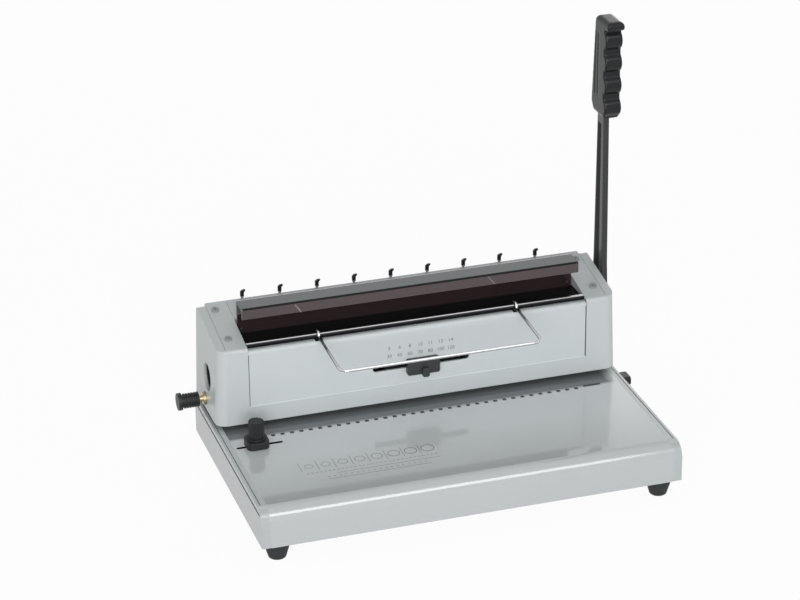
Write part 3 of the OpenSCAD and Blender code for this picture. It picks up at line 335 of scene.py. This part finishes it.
wound_wire = bpy.data.node_groups.new("wound_wire", "GeometryNodeTree")
for title, kind in (("Path", "Geometry"), ("Wire radius", "Float"), ("Finish", "Material")):
    wound_wire.interface.new_socket(title, in_out="INPUT", socket_type="NodeSocket" + kind)
wound_wire.interface.new_socket("Wire", in_out="OUTPUT", socket_type="NodeSocketGeometry")
path, wire_r, finish = (Shade(wound_wire, None).node("NodeGroupInput", {}, k) for k in range(3))
section = path.node("GeometryNodeCurvePrimitiveCircle", {"Resolution": 20, "Radius": wire_r})
way = path.node("GeometryNodeMeshToCurve", {"Mesh": path})
wire = path.node("GeometryNodeCurveToMesh", {"Curve": way, "Profile Curve": section, "Fill Caps": True})
wire = path.node("GeometryNodeSetShadeSmooth", {"Geometry": wire})
wire = path.node("GeometryNodeRealizeInstances", {"Geometry": wire})
wire = path.node("GeometryNodeSetMaterial", {"Geometry": wire, "Material": finish})
path.node("NodeGroupOutput", {0: wire})


def slab(name, low, high):
    """A small block between two corners."""
    mesh = bpy.data.meshes.new(name)
    shape = bmesh.new()
    bmesh.ops.create_cube(shape, size=1)
    for corner in shape.verts:
        corner.co = [(a + b) / 2 + t * (b - a) for a, b, t in zip(low, high, corner.co)]
    shape.to_mesh(mesh)
    shape.free()
    return mesh


def laid(name, low, high, made):
    """A small block as a piece of its own, in one material."""
    piece = bpy.data.objects.new(name, slab(name, low, high))
    bpy.context.collection.objects.link(piece)
    piece.data.materials.append(made)
    return piece


seam_r, half_seam, seam_end, roll_r, rear_r, bend_steps = 0.0007, 0.00015, 0.001, 0.015, 0.004, 12
deck_low, deck_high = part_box("base_deck")
roll_start, rear_start = deck_low[1] + roll_r, deck_high[1] - rear_r
# Painted shade: the two dark lines along each folded rim.
rim_painted_shade = surface("rim_painted_shade", (0.13, 0.137, 0.142), (0.16, 0.167, 0.172), (0.6, 0.75), 60, 2000, 0.03,
                  Specular_IOR_Level=0.03)
rim_w, rim_in, rim_h, rim_down, rim_rise, rim_lead = 0.0008, 0.0030, 0.0022, 0.0044, 0.00008, 0.009
for side, node in ((-1, "base_left_side"), (1, "base_right_side")):
    plate_low, plate_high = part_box(node)
    seam_x = side * (deck_high[0] + half_seam)
    seam_path = [(seam_x, deck_low[1] + seam_r, deck_low[2] + seam_end)]
    for middle, bend_r, start in ((roll_start, roll_r, pi), (rear_start, rear_r, pi / 2)):
        for k in range(bend_steps + 1):
            turn = start - k / bend_steps * pi / 2
            seam_path.append((seam_x, middle + (bend_r - seam_r) * cos(turn),
                              deck_top - bend_r + (bend_r - seam_r) * sin(turn)))
    seam_path.append((seam_x, deck_high[1] - seam_r, deck_low[2] + seam_end))
    filled = drawn_wire(node + "_filler", seam_path, seam_r, deck_enamel)
    home(filled, node)
    face = plate_low[0] if side < 0 else plate_high[0]
    for name, line_x, line_z, lead in (
            ("_top_line", (rim_in, rim_in + rim_w), (-rim_rise, rim_rise), 0.0),
            ("_side_line", (-rim_rise, rim_rise), (-rim_down - rim_h, -rim_down), rim_lead)):
        ends = sorted(face - side * x for x in line_x)
        rim_line = laid(node + name, (ends[0], roll_start - lead, deck_top + line_z[0]),
                        (ends[1], rear_start, deck_top + line_z[1]), rim_painted_shade)
        home(rim_line, node)


# Printed marks on the deck: a row of short dashes under the punched edge of a sheet, one longer
# dash at its end, and a faint chart for choosing a wire, of rings between dividers with rows of
# bars and two rules under them. Screen printed, so hardly raised.
def copies(name, mesh, count, step, growth, made):
    """A row of copies of a small mesh, each a little larger than the one before."""
    piece = bpy.data.objects.new(name, mesh)
    bpy.context.collection.objects.link(piece)
    row = piece.modifiers.new("row", "NODES")
    row.node_group = row_of_copies
    for item in row_of_copies.interface.items_tree:
        value = {"Count": count, "Step": step, "Growth": growth, "Finish": made}.get(item.name)
        if value is not None:
            row[item.identifier] = value
    piece.data = evaluated(piece)
    piece.modifiers.clear()
    return piece


row_of_copies = bpy.data.node_groups.new("row_of_copies", "GeometryNodeTree")
for title, kind in (("Shape", "Geometry"), ("Count", "Int"), ("Step", "Vector"), ("Growth", "Float"),
                    ("Finish", "Material")):
    row_of_copies.interface.new_socket(title, in_out="INPUT", socket_type="NodeSocket" + kind)
row_of_copies.interface.new_socket("Row", in_out="OUTPUT", socket_type="NodeSocketGeometry")
one, count, step, growth, finish = (Shade(row_of_copies, None).node("NodeGroupInput", {}, k)
                                    for k in range(5))
line = one.node("GeometryNodeMeshLine", {"Count": count, "Offset": step})
size = 1.0 + growth * one.node("GeometryNodeInputIndex", {})
row = one.node("GeometryNodeInstanceOnPoints", {"Points": line, "Instance": one, "Scale": size})
row = one.node("GeometryNodeRealizeInstances", {"Geometry": row})
row = one.node("GeometryNodeSetMaterial", {"Geometry": row, "Material": finish})
one.node("NodeGroupOutput", {0: row})

print_height = 0.00004
dash_ink = surface("dash_ink", (0.025, 0.027, 0.03), (0.05, 0.053, 0.056), (0.45, 0.6), 60, 2000, 0.05)
chart_ink = surface("chart_ink", (0.20, 0.215, 0.225), (0.25, 0.265, 0.275), (0.3, 0.42), 60, 2000, 0.03)
dash_half_x, dash_half_y, dash_count, dash_step = 0.0020, 0.0021, 34, 0.00943
dash_x, dash_y = -0.1566, 0.0200
dash = slab("dash", (-dash_half_x, -dash_half_y, -print_height), (dash_half_x, dash_half_y, print_height))
dashes = copies("edge_dashes", dash, dash_count, (dash_step, 0, 0), 0.0, dash_ink)
dashes.data.transform(Matrix.Translation((dash_x, dash_y, deck_top)))
end_dash = laid("end_dash", (0.163, 0.0201, deck_top - print_height),
                (0.181, 0.0239, deck_top + print_height), dash_ink)


def skinned(name, sections, closed):
    """A closed skin over a row of four-cornered sections, which runs round or is capped at its ends."""
    shape = bmesh.new()
    loops = [[shape.verts.new(corner) for corner in section] for section in sections]
    for near, far in zip(loops, loops[1:] + loops[:1] if closed else loops[1:]):
        for k in range(4):
            n = (k + 1) % 4
            shape.faces.new((near[k], near[n], far[n], far[k]))
    if not closed:
        shape.faces.new(loops[0])
        shape.faces.new(loops[-1])
    bmesh.ops.recalc_face_normals(shape, faces=shape.faces)
    mesh = bpy.data.meshes.new(name)
    shape.to_mesh(mesh)
    shape.free()
    return mesh


ring_steps, ring_r, ring_w = 40, 0.0036, 0.0006
ring_section = ((ring_r, -1), (ring_r + ring_w, -1), (ring_r + ring_w, 1), (ring_r, 1))
ring_mesh = skinned("chart_ring", [[(r * cos(2 * pi * k / ring_steps), r * sin(2 * pi * k / ring_steps),
                                     side * print_height) for r, side in ring_section]
                                   for k in range(ring_steps)], True)
ring_count, ring_growth, cell_w, ring_x, ring_y = 8, 0.085, 0.0168, -0.1419, -0.052
rings = copies("chart_rings", ring_mesh, ring_count, (cell_w, 0, 0), ring_growth, chart_ink)
rings.data.transform(Matrix.Translation((ring_x, ring_y, deck_top)))


def chart_row(name, size, count, step, start):
    """A row of printed bars, each of the same size."""
    half_x, half_y = size[0] / 2, size[1] / 2
    bar = slab(name, (-half_x, -half_y, -print_height), (half_x, half_y, print_height))
    bars = copies(name, bar, count, (*step, 0), 0.0, chart_ink)
    bars.data.transform(Matrix.Translation((*start, deck_top)))
    return bars


dividers = chart_row("chart_dividers", (0.0006, 0.018), ring_count, (cell_w, 0),
                     (ring_x - cell_w / 2, ring_y))
ticks = chart_row("chart_ticks", (0.0024, 0.0009), 31, (cell_w / 4, 0), (-0.1460, -0.0655))
counts = chart_row("chart_counts", (0.0018, 0.0012), 18, (cell_w / 3, 0), (-0.1290, -0.0770))
rules = chart_row("chart_rules", (0.101, 0.0006), 2, (-0.011, -0.0095), (-0.0686, -0.0718))
for piece in (dashes, end_dash, rings, dividers, ticks, counts, rules):
    home(piece, "base_deck")


# Rubber feet: four moulded feet with a chamfered rim, each held to the bottom pan by a screw
# that stands deep in the recess of the foot.
rubber = surface("rubber", (0.020, 0.024, 0.026), (0.032, 0.036, 0.038), (0.55, 0.75), 20, 1800, 0.25,
                 Specular_IOR_Level=0.25)
dressed("rubber_feet", rubber, 0.0006)


# Inner works: two blackened frame plates, tied by rods and screws, carry a ground steel shaft in brass
# bushes. Its pinions drive the racks of the punches and of the jaw. Dies, punches and gears are bright
# steel, the selector's gauge is black, and the pan, runners and small plates are zinc plated.
def paint(names, made):
    """Gives CAD nodes that keep their own shape a material."""
    for name in names:
        data = frame["nodes"][name].data
        data.materials.clear()
        data.materials.append(made)


blackened = surface("blackened", (0.035, 0.036, 0.038), (0.055, 0.056, 0.058), (0.4, 0.55), 12, 700, 0.08,
                    Specular_IOR_Level=0.3)
zinc = surface("zinc", (0.48, 0.49, 0.50), (0.56, 0.57, 0.57), (0.28, 0.42), 25, 700, 0.05, Metallic=1.0)
channel_black = surface("channel_black", (0.005, 0.0055, 0.006), (0.009, 0.0095, 0.010), (0.3, 0.45),
                        12, 1500, 0.06, worn=(0.05, 0.05, 0.052), Specular_IOR_Level=0.06)
brass = surface("brass", (0.43, 0.36, 0.22), (0.52, 0.44, 0.29), (0.24, 0.38), 30, 900, 0.05,
                (40, 1, 1), Metallic=1.0)
steel = surface("steel", (0.40, 0.41, 0.43), (0.47, 0.48, 0.50), (0.28, 0.42), 14, 500, 0.06,
                (0.06, 1, 1), Metallic=1.0)
paint(["left_frame_plate", "right_frame_plate"], blackened)
paint(["selector_gauge"], channel_black)
paint(["frame_tie_rods", "die_plate", "die_spacer", "stripper_plate", "guide_pillars", "main_shaft",
       "shaft_collars", "punch_pinions", "jaw_pinions", "punch_bar", "punch_pins", "punch_racks",
       "jaw_racks", "jaw_stop_arm", "side_stop"], steel)
paint(["shaft_bushes"], brass)
paint(["base_pan", "frame_screws", "paper_guide_plate", "drawer_runners", "guide_clamp_plate"], zinc)


# Return spring: round spring wire wound in two and a quarter turns about the right end of the
# shaft. One leg hooks behind a peg of the frame plate and the other behind a peg of the collar.
spring_r, spring_wire, spring_pitch, spring_turns, spring_leg = 0.0094, 0.002, 0.0026, 2.25, 0.011
turn_steps = 72
spring_x, shaft_y, shaft_z = 0.1913, 0.104, 0.100587
spring_steel = surface("spring_steel", (0.34, 0.35, 0.37), (0.42, 0.43, 0.45), (0.2, 0.32), 40, 1200, 0.04,
                       Metallic=1.0)
coil = [Vector((spring_x + spring_pitch * a, shaft_y + spring_r * cos(2 * pi * a),
                shaft_z + spring_r * sin(2 * pi * a)))
        for a in [k / turn_steps for k in range(int(spring_turns * turn_steps) + 1)]]
spring_path = [coil[0] - Vector((0, 0, spring_leg))] + coil + [coil[-1] - Vector((0, spring_leg, 0))]
spring = drawn_wire("spring_coil", spring_path, spring_wire / 2, spring_steel)
home(spring, "return_spring")
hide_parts("return_spring")


# Casing: steel sheet bent and welded into two end towers and a front strip, with an inset front
# panel and a rear cover. Satin light grey enamel, which dries with a faint orange-peel skin.
casing_coat = {"worn": (0.62, 0.64, 0.65), "Coat_Weight": 0.08, "Coat_Roughness": 0.22,
               "Specular_IOR_Level": 0.35}
casing_enamel = surface("casing_enamel", (0.52, 0.56, 0.57), (0.55, 0.585, 0.595), (0.30, 0.42),
                        9, 500, 0.02, **casing_coat)
panel_enamel = surface("panel_enamel", (0.555, 0.595, 0.605), (0.58, 0.615, 0.625), (0.30, 0.42),
                       9, 500, 0.02, **casing_coat)
dressed("main_casing", casing_enamel, 0.0006)
dressed("front_panel", panel_enamel, 0.0005)
dressed("rear_cover", casing_enamel, 0.0005)
# Painted shade: deep in the round hole of the left tower the casing is painted dark, where shade falls.
hole_y, hole_z, hole_r, rim_sharpness, lit_depth, lit_blur = 0.082, 0.097, 0.0143, 5000.0, 0.0042, 0.00167
place = coordinates(casing_enamel)
across_hole = place.node("ShaderNodeVectorMath", {0: place, 1: (0, 1, 1)}, operation="MULTIPLY")
hole_middle = (0, hole_y, hole_z)
reach = place.node("ShaderNodeVectorMath", {0: across_hole, 1: hole_middle}, 1, operation="DISTANCE")
inward = beyond(place, "X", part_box("main_casing")[0][0] + lit_depth, lit_blur)
on_left = 1.0 - beyond(place, "X", 0.0, 0.001)
within = place.math("MINIMUM", (hole_r - reach) * rim_sharpness, 1.0)
toned(casing_enamel, within * inward * on_left, (0.01, 0.01, 0.012))


# Sealing strips: a thin strip of rubber down each end of the front panel, in the seam to the tower,
# and along its foot, on the ledge of the casing's front strip, a thin light bead as a painted highlight.
# Painted highlight: a light bead where the ledge under the front panel catches the light.
painted_highlight = surface("painted_highlight", (0.69, 0.73, 0.74), (0.73, 0.765, 0.775), (0.35, 0.5), 30, 1200, 0.04)
panel_low, panel_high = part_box("front_panel")
panel_face, panel_lap = 0.043, 0.010
seal_w, seal_rise, seal_low, seal_top = 0.0006, 0.00015, panel_low[2] + 0.0105, panel_high[2] - 0.004
ledge, highlight_out, highlight_h = panel_low[2] + panel_lap, 0.0006, 0.0007
for name, low, high, made in (
        ("left_seal", (panel_low[0], panel_face - seal_rise, seal_low),
         (panel_low[0] + seal_w, panel_face + seal_rise, seal_top), rubber),
        ("right_seal", (panel_high[0] - seal_w, panel_face - seal_rise, seal_low),
         (panel_high[0], panel_face + seal_rise, seal_top), rubber),
        ("foot_highlight", (panel_low[0] + seal_w, panel_face - highlight_out, ledge),
         (panel_high[0] - seal_w, panel_face + seal_rise, ledge + highlight_h), painted_highlight)):
    home(laid(name, low, high, made), "front_panel")


# Numbers over the selector's slot: two rows of plain figures, wire sizes above sheet counts,
# printed in dark grey on the front panel.
number_ink = surface("number_ink", (0.12, 0.127, 0.132), (0.17, 0.177, 0.182), (0.4, 0.55), 80, 2000, 0.04)
number_step, number_size, number_rise = 0.0105, 0.0052, 0.00003
numbers = bmesh.new()
for height, figures in ((0.1166, ("5", "6", "8", "10", "11", "13", "14")),
                        (0.1082, ("30", "45", "60", "70", "80", "100", "120"))):
    for k, figure in enumerate(figures):
        script = bpy.data.curves.new("figure", "FONT")
        script.body, script.size, script.align_x = figure, number_size, "CENTER"
        script.extrude = number_rise
        written = bpy.data.objects.new("figure", script)
        bpy.context.collection.objects.link(written)
        flat = evaluated(written)
        flat.transform(Matrix.Translation(((k - 3) * number_step, panel_face, height))
                       @ Matrix.Rotation(radians(90), 4, "X"))
        numbers.from_mesh(flat)
        bpy.data.objects.remove(written)
number_mesh = bpy.data.meshes.new("scale_numbers")
numbers.to_mesh(number_mesh)
numbers.free()
number_mesh.materials.append(number_ink)
scale_numbers = bpy.data.objects.new("scale_numbers", number_mesh)
bpy.context.collection.objects.link(scale_numbers)
home(scale_numbers, "front_panel")


# Selector: a moulded slider with a finger tab, which rides in the slot of the front panel and
# carries a stepped gauge behind it, which limits how far the jaw comes down.
selector_plastic = surface("selector_plastic", (0.030, 0.033, 0.035), (0.044, 0.047, 0.049), (0.3, 0.45),
                           30, 2400, 0.12, Specular_IOR_Level=0.3)
dressed("selector_slider", selector_plastic, 0.0005)


# Screws: pan heads with a cross recess, grey on the casing and zinc plated on the rear cover and
# the feet, and small blackened screws with plain heads in the upper jaw.
def cross_cutter(node, outward, reach):
    """A cross for each screw of a node, set in the end of its head."""
    width, depth, same_level = 0.0009, 0.0010, 1e-5
    outward = Vector(outward)
    shape = bmesh.new()
    shape.from_mesh(merged(node))
    left = set(shape.verts)
    tops = []
    while left:
        group, edge = set(), [left.pop()]
        while edge:
            corner = edge.pop()
            group.add(corner)
            near = {e.other_vert(corner) for e in corner.link_edges} - group
            edge += list(near)
            group |= near
        left -= group
        top = max(corner.co.dot(outward) for corner in group)
        rim = [corner.co for corner in group if corner.co.dot(outward) > top - same_level]
        tops.append(sum(rim, Vector()) / len(rim))
    shape.clear()
    a, b = reach / 2, width / 2
    outline = [(a, b), (b, b), (b, a), (-b, a), (-b, b), (-a, b),
               (-a, -b), (-b, -b), (-b, -a), (b, -a), (b, -b), (a, -b)]
    for top in tops:
        aim = Matrix.Translation(top) @ outward.to_track_quat("Z", "X").to_matrix().to_4x4()
        low, high = ([shape.verts.new(aim @ Vector((x, y, z))) for x, y in outline]
                     for z in (-depth, depth))
        shape.faces.new(low[::-1])
        shape.faces.new(high)
        for k in range(len(outline)):
            n = (k + 1) % len(outline)
            shape.faces.new((low[k], low[n], high[n], high[k]))
    mesh = bpy.data.meshes.new("cross_cutter")
    shape.to_mesh(mesh)
    shape.free()
    cutter = bpy.data.objects.new("cross_cutter", mesh)
    bpy.context.collection.objects.link(cutter)
    return cutter


casing_slope = radians(10.3)
screw_grey = surface("screw_grey", (0.27, 0.29, 0.295), (0.31, 0.33, 0.335), (0.4, 0.55), 25, 700, 0.05)
dressed("casing_screws", screw_grey, 0.0005,
        cross_cutter("casing_screws", (0, -sin(casing_slope), cos(casing_slope)), 0.0042))
dressed("rear_cover_screws", zinc, 0.0005, cross_cutter("rear_cover_screws", (0, 1, 0), 0.0040))
dressed("foot_screws", zinc, 0.0004, cross_cutter("foot_screws", (0, 0, -1), 0.0036))
dressed("jaw_screws", blackened, 0.0003)


# Closing channel: a black enamelled steel floor with a steel rod along its front edge, painted near black
# as shade and with a painted highlight along its upper side. The plated wire bail, which holds the
# sheets, hangs on that rod by its two eyes and lifts up.
dressed("lower_jaw", channel_black, 0.0004)
rod_low, rod_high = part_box("lower_jaw_rod")
rod_steel = surface("rod_steel", (0.012, 0.012, 0.013), (0.03, 0.03, 0.032), (0.14, 0.24), 40, 900, 0.02,
                    Metallic=1.0)
# Painted highlight: the top of the rod is painted bright, and the rest is painted near black as shade.
highlight_from = 0.88
banded(rod_steel, "Z", rod_low[2] + highlight_from * (rod_high[2] - rod_low[2]), 0.0003, (0.62, 0.63, 0.64))
dressed("lower_jaw_rod", rod_steel, 0.0004)
chrome = surface("chrome", (0.50, 0.51, 0.52), (0.58, 0.59, 0.60), (0.05, 0.12), 20, 600, 0.01,
                 Metallic=1.0)
dressed("paper_bail", chrome, 0.0003)


# Upper jaw: an angle of polished smoked plate with a dark red tint, painted darker towards its back as
# shade under the flange, and a thin black wire along its front edge as painted shade on that edge. It
# is screwed to two racks behind it and comes down on the wire when the lever is pulled.
smoked = surface("smoked", (0.046, 0.028, 0.030), (0.055, 0.033, 0.035), (0.04, 0.08), 5, 300, 0.004,
                 IOR=1.49, Coat_Weight=0.4, Coat_Roughness=0.03)
jaw_low, jaw_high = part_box("upper_jaw")
# Painted shade: the plate is painted darker towards its back, under the flange.
banded(smoked, "Y", jaw_high[1] - 0.012, 0.016, (0.026, 0.016, 0.017))
banded(smoked, "Z", jaw_high[2] - 0.0004, 0.0003, (0.030, 0.037, 0.040))
dressed("upper_jaw", smoked, 0.0005)
# Painted shade: a thin black wire along the flange's front edge stands for the shade on that edge.
edge_shade_black = surface("edge_shade_black", (0.006, 0.006, 0.007), (0.012, 0.012, 0.013), (0.5, 0.65),
                     40, 2200, 0.1, Specular_IOR_Level=0.1)
shade_wire_r, shade_wire_sunk, shade_wire_end = 0.0010, 0.0006, 0.0012
shade_wire_path = [(jaw_low[0] + shade_wire_end + t * (jaw_high[0] - jaw_low[0] - 2 * shade_wire_end),
              jaw_low[1] + shade_wire_sunk, jaw_high[2] - shade_wire_sunk) for t in (0, 0.25, 0.5, 0.75, 1)]
edge_shade = drawn_wire("jaw_edge_shade", shade_wire_path, shade_wire_r, edge_shade_black)
home(edge_shade, "upper_jaw")


# Hook rail: a black strip on the top back edge of the rear cover, with nine small moulded claws
# that a wire spine hangs on while sheets are threaded. The claws are black above and grey below.
black_plastic = surface("black_plastic", (0.014, 0.015, 0.016), (0.022, 0.023, 0.024), (0.36, 0.5),
                        18, 2400, 0.14, Specular_IOR_Level=0.25)
dressed("hook_rail", black_plastic, 0.0003)
claw = surface("claw", (0.28, 0.29, 0.30), (0.33, 0.34, 0.35), (0.34, 0.5), 18, 2400, 0.1,
               Specular_IOR_Level=0.3)
black_from_top = 0.0066
banded(claw, "Z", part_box("wire_hooks")[1][2] - black_from_top, 0.0004, (0.013, 0.014, 0.015))
dressed("wire_hooks", claw, 0.0003)


# Lever: a flat bar of black enamelled steel, with a matt black stripe along each flat side, a painted
# reflection for the darker band of that side. It is keyed to the shaft by a moulded hub under a cap.
# A soft moulded grip with four finger swells is pressed over its upper end.
def moulded(node, made, cell, passes):
    """A CAD piece with all its edges run round, as they are on a soft moulding."""
    piece = bpy.data.objects.new(node + "_finish", merged(node))
    bpy.context.collection.objects.link(piece)
    skin = piece.modifiers.new("skin", "REMESH")
    skin.mode, skin.voxel_size, skin.use_smooth_shade = "VOXEL", cell, True
    soften = piece.modifiers.new("soften", "SMOOTH")
    soften.factor, soften.iterations = 0.5, passes
    piece.data = evaluated(piece)
    piece.modifiers.clear()
    piece.data.materials.clear()
    piece.data.materials.append(made)
    home(piece, node)
    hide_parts(node)


black_enamel = surface("black_enamel", (0.014, 0.015, 0.016), (0.022, 0.023, 0.024), (0.25, 0.38),
                       12, 1500, 0.06, worn=(0.10, 0.10, 0.105), Specular_IOR_Level=0.5)
arm = dressed("lever_arm", black_enamel, 0.0006)
# Painted reflection: the dark stripe along each flat side of the bar.
reflection_stripe_black = surface("reflection_stripe_black", (0.004, 0.004, 0.005), (0.009, 0.009, 0.010), (0.5, 0.65),
                      40, 2200, 0.1, Specular_IOR_Level=0.1)
stripe_low, stripe_high, stripe_rows, stripe_rise = 0.135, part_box("lever_grip")[0][2] - 0.012, 13, 0.0001
stripe_front, stripe_rear = 0.36, 0.90
stripe_section = ((-1, stripe_front), (1, stripe_front), (1, stripe_rear), (-1, stripe_rear))
stripe_shape = bmesh.new()
for facing in (-1, 1):
    flat = max((face for face in arm.data.polygons if face.normal.x * facing > 0.95),
               key=lambda face: face.area)
    rim = [arm.data.vertices[k].co for k in flat.vertices]
    rows = []
    for k in range(stripe_rows):
        level = stripe_low + (stripe_high - stripe_low) * k / (stripe_rows - 1)
        cuts = [p.lerp(q, (level - p.z) / (q.z - p.z)).y for p, q in zip(rim, rim[1:] + rim[:1])
                if (p.z - level) * (q.z - level) < 0]
        front, rear = min(cuts), max(cuts)
        rows.append([(rim[0].x + side * stripe_rise, front + share * (rear - front), level)
                     for side, share in stripe_section])
    stripe_shape.from_mesh(skinned("lever_reflection_stripe_side", rows, False))
stripe_mesh = bpy.data.meshes.new("lever_reflection_stripe")
stripe_shape.to_mesh(stripe_mesh)
stripe_shape.free()
stripe_mesh.materials.append(reflection_stripe_black)
reflection_stripe = bpy.data.objects.new("lever_reflection_stripe", stripe_mesh)
bpy.context.collection.objects.link(reflection_stripe)
home(reflection_stripe, "lever_arm")
grip_plastic = surface("grip_plastic", (0.012, 0.013, 0.014), (0.02, 0.021, 0.022), (0.16, 0.26),
                       16, 1600, 0.04, Specular_IOR_Level=0.18)
grip_cell, grip_passes = 0.0006, 24
moulded("lever_grip", grip_plastic, grip_cell, grip_passes)
dressed("lever_hub", black_plastic, 0.0006)
dressed("hub_cap", black_plastic, 0.0006)


# Edge guide: a moulded block that slides in a slot of the deck and sets where the sheet's corner
# comes. A fluted knob screws down into a clamp plate under the deck.
dressed("edge_guide", black_plastic, 0.0005)
dressed("guide_knob", black_plastic, 0.0004)


# Side stop adjustment: a ribbed black knob on a brass screw, which turns in a brass bush on the
# left frame plate and shifts the stop inside the throat.
dressed("stop_knob", black_plastic, 0.0004)
dressed("stop_screw", brass, 0.0003)
dressed("stop_screw_bush", brass, 0.0003)


# Chip drawer: a moulded tray with a black handle, pulled out at the right of the base to empty
# the punched chips.
dressed("chip_drawer", black_plastic, 0.0005)
dressed("drawer_handle", black_plastic, 0.0008)
